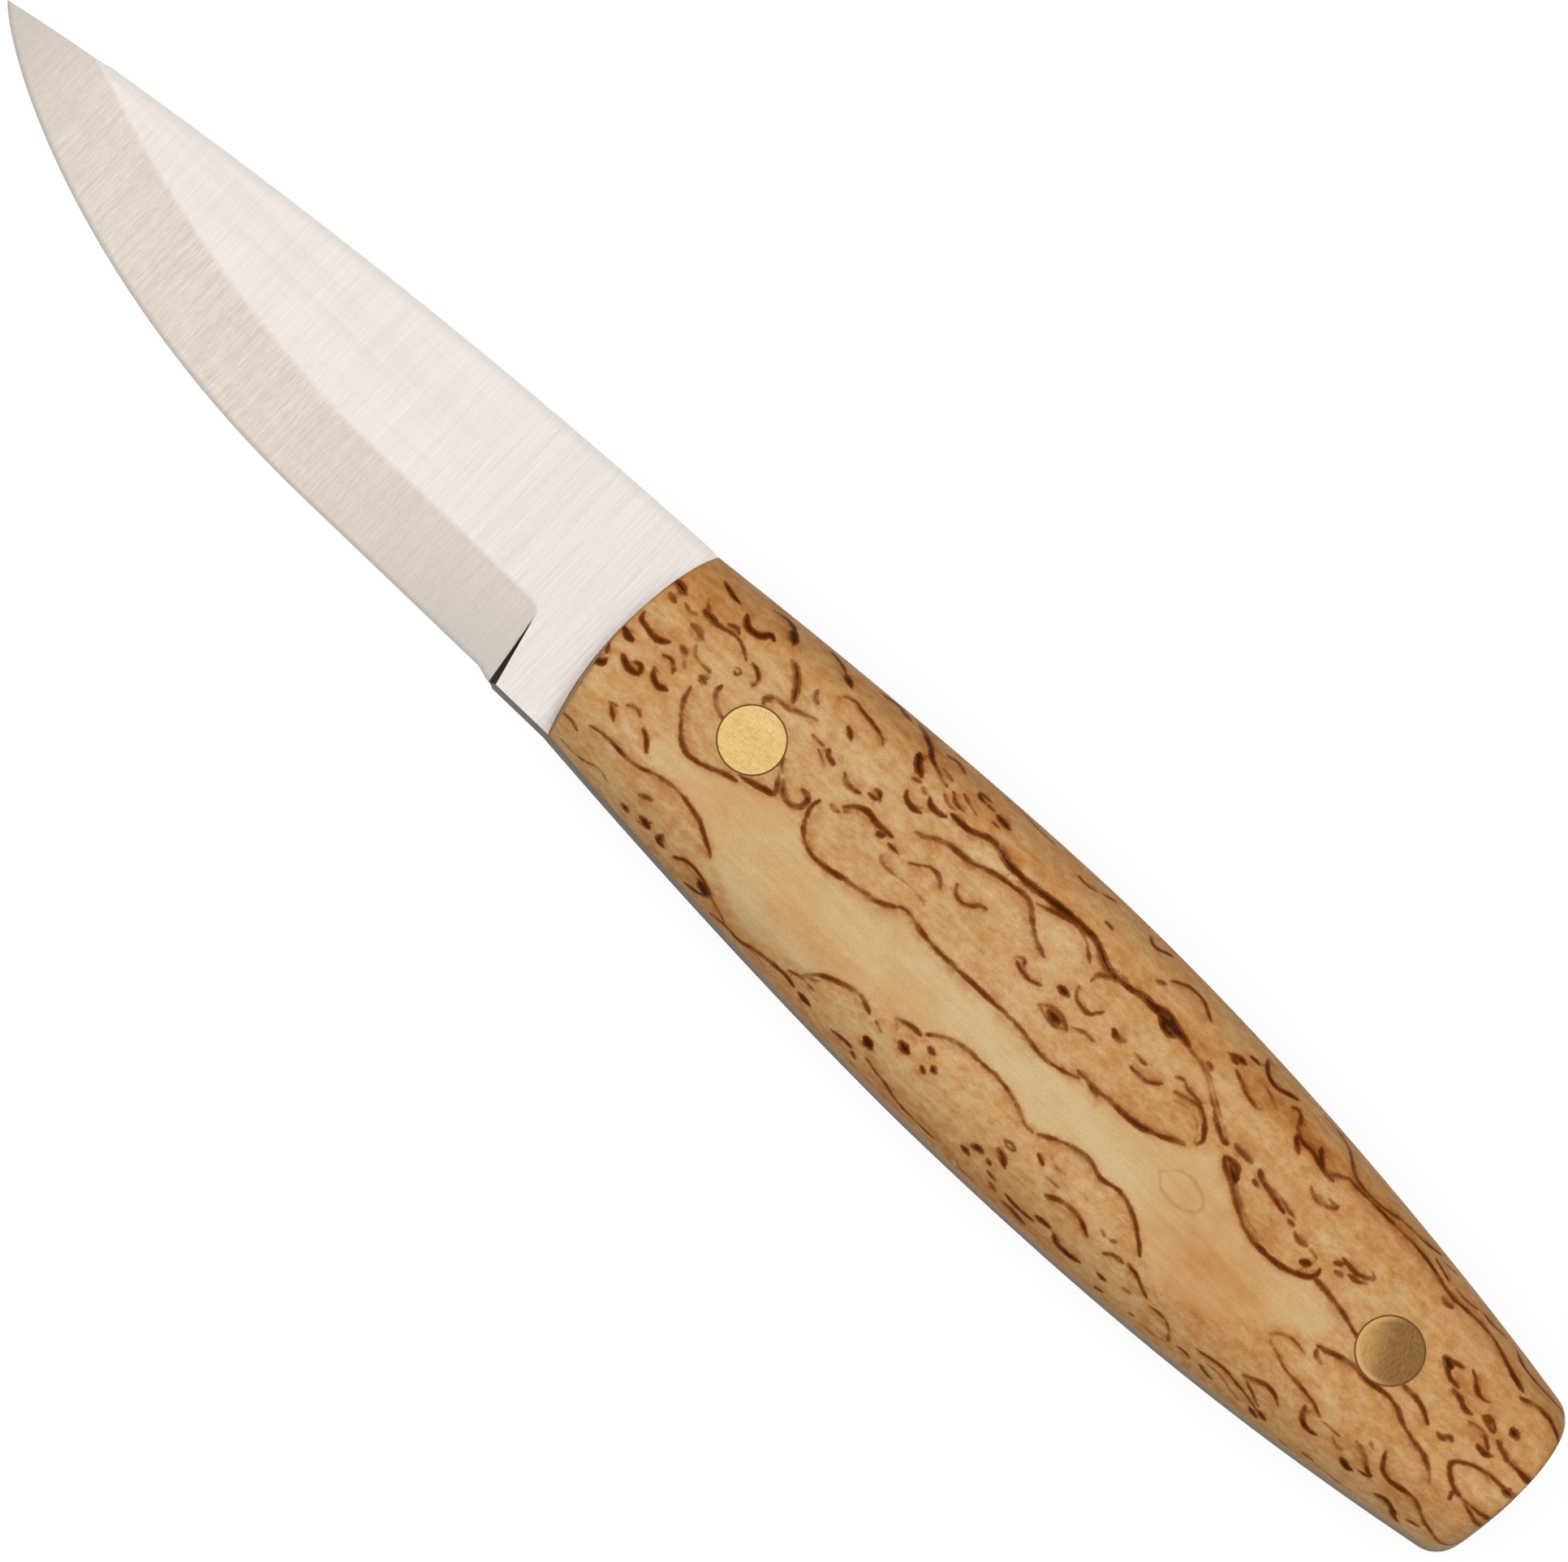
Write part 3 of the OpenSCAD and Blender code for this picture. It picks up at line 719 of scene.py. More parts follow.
    (0.40, 0.90, [(39.4, -13.0), (40.2, -13.1)]),
    (0.35, 0.90, [(40.2, -13.6), (41.0, -13.8)]),
    (0.25, 0.70, [(36.6, -14.1), (37.6, -14.5), (39.0, -14.4)]),
    (0.30, 0.80, [(15.0, -12.3), (16.4, -12.0), (17.6, -12.1)]),
    (0.65, 1.00, [(39.4, 7.3), (41.0, 7.9), (42.6, 7.5), (44.4, 7.1)]),
    (0.50, 1.00, [(41.0, 7.2), (42.0, 6.7), (43.0, 6.8)]),
    (0.36, 0.85, [(45.4, 4.3), (46.0, 4.65), (46.8, 4.35), (48.0, 4.15), (48.6, 4.1)]),
    (0.40, 0.85, [
        (46.2, 3.4), (47.4, 3.7), (48.6, 3.9), (49.6, 3.5), (50.4, 2.7), (50.9, 1.9), (50.6, 1.3),
        (50.3, 1.6),
    ]),
    (0.40, 0.85, [(42.0, 2.3), (42.8, 2.2), (43.8, 2.3), (44.5, 2.7), (45.0, 3.1)]),
    (0.25, 0.70, [(41.4, 3.4), (42.8, 3.3)]),
    (0.35, 0.70, [(46.6, 7.2), (47.2, 7.0)]),
    (0.50, 0.95, [(47.4, 9.1), (48.0, 9.3), (49.0, 9.4)]),
    (0.40, 0.90, [(47.6, 9.0), (48.4, 8.9)]),
    (0.35, 0.90, [(48.8, 8.4), (49.8, 8.0), (51.0, 7.5), (52.2, 7.3), (52.8, 7.4)]),
    (0.25, 0.80, [(49.0, 10.2), (49.8, 10.2)]),
    (0.45, 0.95, [(50.2, 11.0), (50.8, 10.3), (51.6, 9.9), (52.6, 9.8), (53.6, 10.1), (54.4, 10.3)]),
    (0.20, 0.60, [(51.4, 9.2), (52.6, 8.9), (53.6, 8.4)]),
    (0.50, 1.00, [
        (54.4, 9.4), (55.2, 9.7), (55.8, 9.2), (56.2, 8.5), (57.0, 8.0), (58.4, 7.9), (59.6, 7.6),
        (60.6, 7.4), (61.4, 7.3),
    ]),
    (0.40, 0.90, [(56.3, 8.4), (56.8, 7.6), (57.6, 7.0)]),
    (0.40, 0.95, [(58.8, 8.7), (59.2, 8.1), (60.0, 7.7)]),
    (0.35, 0.90, [(60.6, 7.2), (61.4, 7.9), (62.2, 8.3)]),
    (0.36, 0.80, [
        (57.0, 10.9), (58.6, 10.75), (60.0, 10.5), (61.2, 9.9), (62.2, 9.2), (63.4, 8.7), (65.0, 8.55),
        (66.6, 8.7), (68.0, 8.95), (69.6, 9.0), (71.0, 9.0), (72.6, 9.2),
    ]),
    (0.42, 0.90, [
        (62.2, 8.4), (63.6, 8.3), (65.2, 8.3), (67.0, 8.25), (69.0, 8.2), (71.0, 8.15), (73.0, 7.8),
        (74.6, 7.4), (76.0, 7.15), (77.6, 7.2), (79.0, 7.25), (80.8, 7.1), (82.4, 6.6), (84.0, 6.0),
        (85.8, 5.5),
    ]),
    (0.35, 0.85, [(60.4, 5.6), (61.0, 5.2), (61.8, 5.0), (62.6, 5.3), (63.4, 5.9), (62.4, 5.9)]),
    (0.25, 0.60, [(61.4, 5.5), (61.8, 5.55)]),
    (0.40, 0.80, [(53.1, 3.7), (54.0, 3.6), (55.2, 3.5)]),
    (0.45, 0.95, [(56.2, 3.6), (56.8, 3.1), (57.8, 2.9), (59.0, 2.6), (60.2, 2.3)]),
    (0.30, 0.70, [(61.0, 2.1), (61.6, 2.1)]),
    (0.45, 0.85, [(62.1, 1.7), (62.8, 1.45), (63.6, 1.6)]),
    (0.20, 0.50, [(64.0, 1.6), (65.0, 1.4)]),
    (0.30, 0.70, [(56.5, 2.5), (56.9, 2.4)]),
    (0.42, 0.90, [
        (53.2, 2.3), (54.0, 1.6), (55.0, 1.1), (56.2, 0.3), (57.4, -0.4), (58.6, -1.0), (60.0, -1.35),
        (61.4, -1.35), (62.8, -1.35), (64.2, -1.0), (65.2, -0.5), (65.9, 0.1), (65.9, 0.9),
    ]),
    (0.55, 1.00, [(53.3, 2.4), (54.4, 2.35), (55.0, 1.9), (55.4, 1.3)]),
    (0.50, 0.95, [(64.3, 0.3), (64.9, 0.6)]),
    (0.40, 0.80, [(66.4, 2.2), (66.9, 2.5)]),
    (0.38, 0.85, [(66.6, 3.0), (67.6, 2.9), (68.6, 2.9), (69.4, 3.3), (69.9, 3.6), (69.3, 3.9)]),
    (0.30, 0.70, [(67.0, 1.7), (67.6, 1.8)]),
    (0.42, 0.85, [(66.0, 0.0), (67.4, -0.1), (68.6, -0.2), (70.0, -0.5), (71.4, -0.9), (72.6, -1.1)]),
    (0.38, 0.90, [
        (44.4, -11.0), (45.2, -10.6), (46.2, -10.35), (47.4, -10.3), (48.4, -10.6), (49.4, -11.1),
    ]),
    (0.35, 0.90, [(51.4, -11.2), (52.2, -10.7), (53.2, -10.6)]),
    (0.42, 0.95, [(53.6, -10.35), (54.6, -10.5), (55.6, -10.9), (56.8, -11.4)]),
    (0.30, 0.80, [(57.4, -11.7), (58.4, -11.6), (59.4, -11.7), (60.3, -12.2)]),
    (0.18, 0.80, [(41.4, -8.8), (42.3, -9.2)]),
    (0.30, 0.60, [(43.4, -9.8), (44.6, -9.7)]),
    (0.16, 0.60, [(49.9, -9.8), (50.4, -10.0)]),
    (0.14, 0.50, [(51.2, -9.9), (51.5, -9.7)]),
    (0.45, 1.00, [(45.2, -12.9), (45.8, -12.8), (46.4, -12.8)]),
    (0.70, 1.00, [(47.3, -13.0), (48.0, -13.4), (49.2, -13.4), (50.4, -13.2)]),
    (0.35, 0.95, [(41.8, -13.4), (43.4, -13.5), (45.2, -13.4)]),
    (0.70, 1.00, [(42.0, -14.0), (43.4, -14.0), (44.8, -14.1)]),
    (0.40, 0.90, [(52.4, -12.8), (53.0, -12.8)]),
    (0.25, 0.60, [(54.8, -12.2), (55.4, -12.1)]),
    (0.30, 0.80, [(53.0, -13.8), (53.6, -13.7)]),
    (0.25, 0.70, [(56.6, -13.4), (57.0, -13.3)]),
    (0.35, 0.90, [(61.6, -12.6), (62.4, -12.5), (63.0, -12.6)]),
    (0.20, 0.60, [(58.0, -13.4), (59.4, -13.3), (60.6, -13.0)]),
    (0.30, 0.80, [(60.4, -12.4), (60.7, -12.8)]),
    (0.30, 0.80, [
        (63.0, -11.6), (63.8, -11.5), (64.8, -11.3), (66.2, -11.2), (67.8, -11.4), (69.2, -11.6),
        (70.6, -11.9),
    ]),
    (0.35, 0.90, [(64.2, -12.4), (65.0, -12.6), (65.6, -12.6)]),
    (0.35, 0.85, [
        (67.4, -10.4), (68.2, -10.1), (69.2, -9.75), (70.2, -9.65), (71.0, -10.0), (71.5, -10.3),
    ]),
    (0.25, 0.70, [(67.8, -10.5), (69.0, -11.0), (70.2, -11.5)]),
    (0.30, 0.65, [(66.6, -6.2), (67.2, -5.6), (68.2, -5.2), (69.2, -5.2), (70.0, -5.4)]),
    (0.32, 0.85, [
        (67.0, -6.6), (68.2, -7.0), (69.6, -7.5), (71.0, -7.6), (72.4, -7.75), (73.6, -8.0), (74.6, -8.4),
    ]),
    (0.20, 0.14, [
        (50.0, -2.6), (51.2, -1.4), (52.8, -1.1), (54.6, -1.9), (54.8, -2.9), (53.4, -3.8), (51.4, -3.7),
        (50.0, -2.6),
    ]),
    (0.30, 0.85, [(72.6, 8.6), (73.6, 8.3), (74.6, 8.0)]),
    (0.20, 0.60, [(73.4, 8.9), (75.0, 8.95)]),
    (0.30, 0.70, [(75.6, 7.9), (76.8, 7.8), (78.2, 7.95)]),
    (0.30, 0.80, [(78.8, 8.05), (80.0, 7.9), (81.6, 7.9)]),
    (0.35, 0.85, [(83.0, 7.8), (84.0, 7.3), (85.2, 7.0), (86.8, 6.85), (88.4, 6.75), (89.8, 6.7)]),
    (0.50, 0.90, [
        (86.1, 4.9), (86.9, 5.2), (88.0, 5.4), (89.2, 5.3), (90.2, 5.0), (91.4, 4.7), (93.0, 4.4),
    ]),
    (0.40, 0.75, [(75.2, 6.6), (75.8, 6.4), (76.3, 6.5)]),
    (0.20, 0.50, [(70.3, 5.1), (70.8, 5.1)]),
    (0.40, 0.90, [(80.8, 3.4), (79.8, 3.1), (79.3, 2.8), (79.8, 2.3), (80.6, 1.9), (81.6, 1.8)]),
    (0.65, 1.00, [(79.0, 2.9), (79.8, 2.7)]),
    (0.35, 0.85, [(81.4, 3.8), (82.0, 3.5), (82.6, 3.0), (83.4, 2.6), (84.0, 2.6), (84.5, 2.9)]),
    (0.45, 0.90, [(81.2, 1.4), (82.2, 1.2), (83.2, 0.85), (84.0, 0.9)]),
    (0.35, 0.85, [(84.8, 1.5), (85.4, 1.8), (86.2, 1.5), (86.4, 1.1), (85.6, 1.2), (84.8, 1.5)]),
    (0.40, 0.95, [(85.4, 1.5), (85.7, 1.45)]),
    (0.55, 0.95, [(87.5, 2.35), (88.1, 2.2)]),
    (0.35, 0.85, [(84.2, 0.3), (85.0, 0.55), (85.8, 0.5), (86.6, 0.0), (87.2, -0.4)]),
    (0.38, 0.90, [(86.1, -0.7), (87.0, -0.75), (87.8, -0.5)]),
    (0.50, 1.00, [
        (87.2, 0.8), (88.0, 0.5), (89.0, 0.2), (90.2, 0.15), (91.6, 0.2), (94.0, 0.5), (97.0, 0.3),
    ]),
    (0.40, 0.85, [
        (94.0, -1.2), (91.4, -1.7), (90.0, -1.8), (88.6, -1.85), (87.2, -2.2), (86.2, -2.7), (85.6, -3.4),
        (86.2, -4.2), (87.2, -4.8), (88.4, -5.0), (90.0, -4.9), (91.4, -4.7), (94.0, -4.4),
    ]),
    (0.40, 0.90, [(88.6, -5.1), (89.8, -5.4), (90.8, -5.75), (91.6, -5.5), (94.0, -5.2)]),
    (0.60, 1.00, [(90.5, -1.85), (91.2, -1.85)]),
    (0.30, 0.80, [(87.4, -5.1), (87.6, -5.7)]),
    (0.40, 0.85, [(78.0, -1.4), (79.0, -1.35), (80.0, -1.45), (81.0, -1.9), (81.8, -2.3)]),
    (0.38, 0.85, [
        (70.2, -4.1), (71.4, -3.8), (72.6, -3.4), (73.8, -3.1), (75.0, -3.2), (76.6, -3.1), (78.0, -3.0),
        (79.2, -3.3), (80.4, -3.9), (82.0, -4.3), (83.4, -4.6), (84.6, -5.2), (85.4, -5.9),
    ]),
    (0.30, 0.70, [(70.4, -4.2), (70.8, -4.8), (71.6, -5.0)]),
    (0.40, 0.85, [(82.9, -2.3), (83.5, -2.4), (83.9, -1.9), (84.4, -1.9)]),
    (0.40, 0.85, [
        (80.8, -6.6), (81.2, -7.3), (81.8, -8.0), (83.0, -8.25), (84.4, -8.0), (85.6, -7.9), (86.6, -8.4),
        (88.0, -8.9), (89.2, -9.15), (90.2, -9.2), (93.0, -9.4),
    ]),
    (0.48, 0.90, [(78.4, -7.8), (79.2, -7.9), (80.2, -8.5), (80.9, -9.0), (81.4, -9.2), (80.4, -9.5)]),
    (0.25, 0.50, [(79.4, -7.0), (79.8, -7.2)]),
    (0.55, 1.00, [(73.1, -8.6), (73.5, -9.4), (74.2, -9.9), (75.0, -9.95), (75.5, -9.8)]),
    (0.20, 0.60, [(75.0, -8.6), (76.0, -8.5), (77.0, -8.5)]),
    (0.60, 1.00, [(78.6, -9.8), (79.2, -10.0), (79.7, -9.9)]),
    (0.50, 0.95, [(82.8, -10.0), (83.6, -9.75), (84.4, -9.8), (85.2, -10.1)]),
    (0.40, 0.90, [(84.8, -10.2), (85.8, -10.4)]),
    (0.30, 0.70, [(86.4, -9.7), (87.4, -9.4)]),
    (0.50, 1.00, [(69.8, -12.1), (70.6, -12.3)]),
    (0.40, 0.90, [(70.6, -11.8), (71.4, -12.0)]),
    (0.35, 0.80, [(75.8, -11.8), (76.8, -11.6)]),
    (0.35, 0.80, [(73.6, -12.4), (74.4, -12.3)]),
    (0.20, 0.50, [(77.0, -11.7), (79.0, -11.6), (81.0, -11.3), (83.0, -11.0)]),
    (0.25, 0.80, [(7.7, 0.7), (8.2, 0.6), (8.6, 0.75)]),
    (0.25, 0.75, [(8.9, 1.1), (9.2, 1.3)]),
    (0.85, 0.95, [(4.0, -12.1), (4.8, -12.4), (5.5, -12.7)]),
    (0.55, 0.90, [(10.6, -13.3), (12.6, -13.0), (14.6, -12.9)]),
    (0.70, 1.00, [(8.3, 11.2), (9.6, 10.8), (10.6, 10.3)]),
    (0.55, 0.95, [(0.8, 10.0), (1.8, 9.5)]),
    (0.24, 0.40, [(46.7, 2.8), (48.0, 3.1), (49.2, 2.9), (49.9, 2.3)]),
    (0.20, 0.55, [(54.6, 1.9), (55.8, 1.0), (57.4, 0.1), (59.0, -0.5), (60.6, -0.7)]),
    (0.45, 0.18, [(42.2, -8.2), (43.4, -8.6), (44.4, -8.5)]),
    (0.22, 0.60, [(58.2, 3.3), (59.4, 3.0), (60.6, 2.7), (61.4, 2.6)]),
    (0.30, 0.70, [(68.0, 2.3), (68.9, 2.4), (69.6, 2.8)]),
    (0.20, 0.50, [(76.6, -8.9), (77.4, -9.3), (78.0, -9.2)]),
    (0.24, 0.60, [(64.6, -11.9), (66.0, -11.8), (67.2, -12.1), (68.6, -12.3)]),
    (0.22, 0.60, [(15.4, 9.4), (16.4, 9.1), (17.4, 8.9)]),
    (0.24, 0.65, [(14.2, 8.2), (15.0, 7.8), (15.8, 7.9)]),
    (0.24, 0.60, [(-13.4, 4.6), (-12.6, 4.4), (-12.0, 4.6)]),
    (0.70, 1.00, [(-5.0, 9.5), (-4.5, 9.0), (-4.3, 8.6)]),
    (0.50, 1.00, [(-2.7, 3.4), (-2.4, 3.9)]),
    (0.26, 0.85, [(15.9, -12.1), (16.7, -11.6), (17.4, -11.2)]),
    (0.80, 0.85, [(40.6, 7.35), (42.0, 7.3), (43.6, 7.15)]),
    (0.50, 0.85, [(49.8, 4.5), (51.0, 3.8), (52.0, 3.3), (52.6, 3.2)]),
    (0.60, 0.95, [(54.1, 2.05), (54.8, 1.7), (55.4, 1.2)]),
    (0.50, 0.95, [(82.6, 6.5), (84.2, 5.9), (85.7, 5.5)]),
    (0.22, 0.55, [(36.0, 1.2), (37.0, 1.6), (38.2, 1.7)]),
]

# Broad clouds of colour in the wood: middle, reach along and across, and warmer or paler by how much. The two
# long clouds along the rims, at y 12.3 and y -14.5, are painted shade on the shoulders.
figure_clouds = [
    (30, -4.2, 16, 2.2, -0.16), (53, -3.4, 6, 2.4, 0.22), (19, 6.8, 7, 0.8, -0.25), (14, -9, 5, 1.6, 0.32),
    (30, 12.3, 70, 2.0, 0.36), (62, 6, 14, 4.0, 0.12), (82, 3, 10, 6.0, 0.22), (60.5, 0.4, 5, 1.6, 0.24),
    (60, -6.5, 7, 4.0, 0.66), (87, -7.2, 5, 2.6, 0.36), (76, -5, 7, 2.2, 0.22), (45, -3.8, 8, 1.6, -0.14),
    (47, -8.5, 7, 1.6, 0.14), (44, 1, 5, 2.0, 0.2), (-13, 6.5, 5, 4.0, 0.3), (8, 4, 5, 1.6, -0.12),
    (6, -10.6, 4, 1.4, -0.22), (33, -8.4, 6, 1.4, 0.12), (72, -10, 12, 2.5, 0.2), (-9, -9.5, 5, 1.6, -0.08),
    (30, -14.5, 80, 2.6, 0.5), (22, 9.4, 6, 0.8, 0.15), (2, -6, 6, 2.0, 0.24), (-12, -3, 4, 4.0, 0.1),
    (43, 7.6, 4, 0.8, 0.5), (52.5, 9, 4, 1.4, 0.45), (58.5, 8.3, 3, 1.1, 0.6), (67, 8.6, 6, 0.7, 0.6),
    (-12, 1.5, 3, 2.6, 0.16), (10, 10, 4, 1.2, 0.35), (34.3, 0.9, 1.6, 0.9, 0.3), (36, 5.4, 2.4, 1.4, 0.2),
    (48.5, 3.4, 2.4, 1.0, 0.3), (31, 8.4, 10, 0.7, 0.25), (57, 1.8, 3, 1.2, 0.2), (82, 2.4, 3, 1.0, 0.3),
    (86, 0.6, 3, 1.2, 0.25), (4, -12.2, 3, 0.9, 0.35), (40, -11.5, 4, 1.8, 0.15), (80, -8.6, 4, 1.2, 0.15),
    (-4.5, 8.8, 2, 1.6, 0.15), (24, 5.5, 6, 0.7, 0.12), (83, 5.6, 5, 1.4, -0.34),
    (-3.8, 2.4, 1.6, 1.6, 0.14), (26, 10.2, 16, 1.0, -0.07), (12, 9.6, 4, 0.8, -0.2), (46, 9, 3, 1.2, 0.12),
    (-9, -7.5, 2.5, 1.2, -0.28), (10, -0.3, 3, 1.6, -0.08), (52, -8, 2.5, 1.0, 0.2),
    (52, -10.6, 2.5, 0.8, -0.14), (70, -9.3, 4, 1.0, -0.16), (70, -12.6, 6, 1.0, 0.3),
    (25, -8, 3, 1.0, 0.16), (25, -11.5, 4, 1.0, -0.1), (30, 9.7, 5, 1.0, 0.2), (-12.5, -3.8, 2, 1.2, -0.12),
]

# The pale stretch of clear wood that runs between the figured parts, as an outline
clear_wood = [
    (-7.2, -4.6), (-4.6, -5.0), (-2.0, -4.6), (0.4, -3.8), (4.0, -2.6), (7.2, -2.6), (9.6, -3.9),
    (13.0, -3.4), (17.6, -2.2), (19.4, -1.7), (24.0, -2.3), (34.0, -2.4), (38.0, -2.3), (44.6, -1.4),
    (49.6, 0.3), (52.6, 2.2), (55.0, 0.8), (58.6, -1.3), (62.8, -1.6), (66.0, -0.6), (71.0, -1.2),
    (69.5, -3.6), (66.0, -5.4), (62.0, -9.0), (56.0, -10.2), (54.0, -9.0), (51.0, -7.2), (48.4, -6.5),
    (45.0, -6.4), (42.0, -7.0), (39.5, -8.0), (36.8, -7.1), (33.0, -6.7), (29.6, -7.0), (27.0, -8.4),
    (24.0, -9.0), (20.8, -9.6), (17.0, -11.0), (10.0, -12.6), (4.0, -10.0), (0.0, -8.4), (-4.0, -7.9),
    (-7.0, -7.2),
]


def end_height(d):
    """Height of the skin over the scale's foot, as a share, at a distance from the front or butt end."""
    turn = np.clip(1 - (d - end_draft) / end_r, 0, 1)
    round_over = 1 - end_r / scale_t * (1 - np.sqrt(1 - turn**2))
    return np.where(d < end_draft, (1 - end_r / scale_t) * d / end_draft, round_over)


def way_along(steps, heights):
    """The way covered at each point of a profile, from its start."""
    return np.concatenate([[0], np.cumsum(np.hypot(np.diff(steps), scale_t * np.diff(heights)))])


# The shoulder's profile, from the flat side down to the outline: reach outwards, height, and way along it
turned = np.linspace(math.pi / 2, shoulder_low, 200)
shoulder_out = shoulder_w * np.cos(turned) / math.cos(shoulder_low)
shoulder_up = (np.sin(turned) - math.sin(shoulder_low)) / (1 - math.sin(shoulder_low))
shoulder_way = way_along(shoulder_out, shoulder_up)

# The way along the middle of the scale, over its ends too, with the flat side at its true place
rounding = end_draft + np.linspace(0, 1, 80)[1:] ** 2 * end_r
end_steps = np.concatenate([np.linspace(0, end_draft, 40), rounding])
long_steps = np.concatenate([end_steps, handle_len - end_steps[::-1]])
long_way = way_along(long_steps, end_height(np.minimum(long_steps, handle_len - long_steps)))
long_way += FRONT_X + handle_len / 2 - long_way[-1] / 2


def skin_at(way, across):
    """A point of the unrolled skin, by its way along and its share across, on the scale and laid flat."""
    d = np.interp(way, long_way, long_steps)
    side_x = mix(front_bow, butt_x, d / handle_len)
    half = side_half(side_x)
    level = half - shoulder_w
    laid_y = across * (level + shoulder_way[-1])
    past = np.clip(np.abs(laid_y) - level, 0, None)
    y = np.sign(laid_y) * (np.minimum(np.abs(laid_y), level) + np.interp(past, shoulder_way, shoulder_out))
    bow = (y / half) ** 2
    shift = mix(front_bow * bow, -butt_bow * bow, d / handle_len)
    z = scale_t * end_height(np.minimum(d, handle_len - d)) * np.interp(past, shoulder_way, shoulder_up)
    solid = np.column_stack([d + shift + FRONT_X, y - axis_drop(side_x), z])
    return solid, np.column_stack([way + shift, laid_y])


def unrolled(laid):
    """The way and the share across of points of the skin that are laid flat."""
    way = laid[:, 0]
    for _ in range(4):
        d = np.interp(way, long_way, long_steps)
        half = side_half(mix(front_bow, butt_x, d / handle_len))
        width = half - shoulder_w + shoulder_way[-1]
        across = np.clip(laid[:, 1] / width, -1, 1)
        shift = skin_at(way, across)[1][:, 0] - way
        way = laid[:, 0] - shift
    return np.column_stack([way, across])


def laid_flat(points):
    """Points of the figure as the picture shows them, moved to where they lie on the skin laid flat."""
    made = []
    for x, seen_y in points:
        d = np.clip(x - FRONT_X, 0, handle_len)
        level = float(side_half(mix(front_bow, butt_x, d / handle_len))) - shoulder_w
        rise = scale_t * (1 - shoulder_up) * math.tan(seen_tilt)
        seen = np.concatenate([-(level + shoulder_out + rise)[::-1], level + shoulder_out - rise])
        laid = np.concatenate([-(level + shoulder_way)[::-1], level + shoulder_way])
        made.append((x, np.interp(seen_y + axis_drop(d), seen, laid)))
    return np.array(made)


def flowing(points, steps=5):
    """A smooth line through points."""
    ends = np.concatenate([[2 * points[0] - points[1]], points, [2 * points[-1] - points[-2]]])
    made = []
    for a, b, c, d in zip(ends[:-3], ends[1:-2], ends[2:-1], ends[3:]):
        for t in np.arange(steps) / steps:
            made.append(b + t / 2 * (c - a + t * (2 * a - 5 * b + 4 * c - d + t * (3 * (b - c) + d - a))))
    return np.array(made + [points[-1]])


def other_side(points):
    """The figure of the right scale: the same wood, turned end for end and drifting a little."""
    turned_about = 76.0
    drift_along, drift_across = 1.6, 1.1
    x, y = turned_about - points[:, 0], -points[:, 1]
    along = drift_along * np.sin(0.3 * y + 0.05 * x)
    across = drift_across * np.sin(0.12 * x + 1.0)
    return np.column_stack([x + along, y + across])


def figure_paths(mirrored):
    """Every line of the figure laid flat: points along it, its half width there, and its darkness."""
    step = 0.3
    least_steps = 6
    tapered = 1.6
    half_share = 0.55
    dot_len, dot_end = 0.6, 0.9
    line_len, line_end = 2.0, 0.35
    long_len, long_fullness, short_gain = 5.0, 0.94, 0.36
    paths = []
    for width, dark, points in figure_lines:
        path = flowing(laid_flat(points))
        way = np.concatenate([[0], np.cumsum(np.hypot(*np.diff(path, axis=0).T))])
        length = way[-1]
        spread = np.linspace(0, length, max(least_steps, math.ceil(length / step)) + 1)
        path = np.column_stack([np.interp(spread, way, path[:, 0]), np.interp(spread, way, path[:, 1])])
        ends = np.minimum(spread, length - spread) / min(tapered, length / 2)
        fullness = long_fullness + short_gain * max(0.0, 1 - length / long_len)
        taper = mix(dot_end, line_end, np.clip((length - dot_len) / (line_len - dot_len), 0, 1))
        rounded = np.sqrt(1 - (1 - np.clip(ends, 0, 1)) ** 2)
        half = half_share * width * mix(taper, fullness, rounded)
        paths.append((other_side(path) if mirrored else path, half, dark))
    return paths


def nearest_on(path, x, y):
    """Distances to a line, the share along the nearest stretch of it, and the number of that stretch."""
    best, share, stretch = np.full(x.shape, 99.0), np.zeros(x.shape), np.zeros(x.shape, int)
    for n, (a, b) in enumerate(zip(path[:-1], path[1:])):
        step = b - a
        t = np.clip(((x - a[0]) * step[0] + (y - a[1]) * step[1]) / (step @ step), 0, 1)
        away = np.hypot(x - a[0] - t * step[0], y - a[1] - t * step[1])
        closer = away < best
        best[closer], share[closer], stretch[closer] = away[closer], t[closer], n
    return best, share, stretch


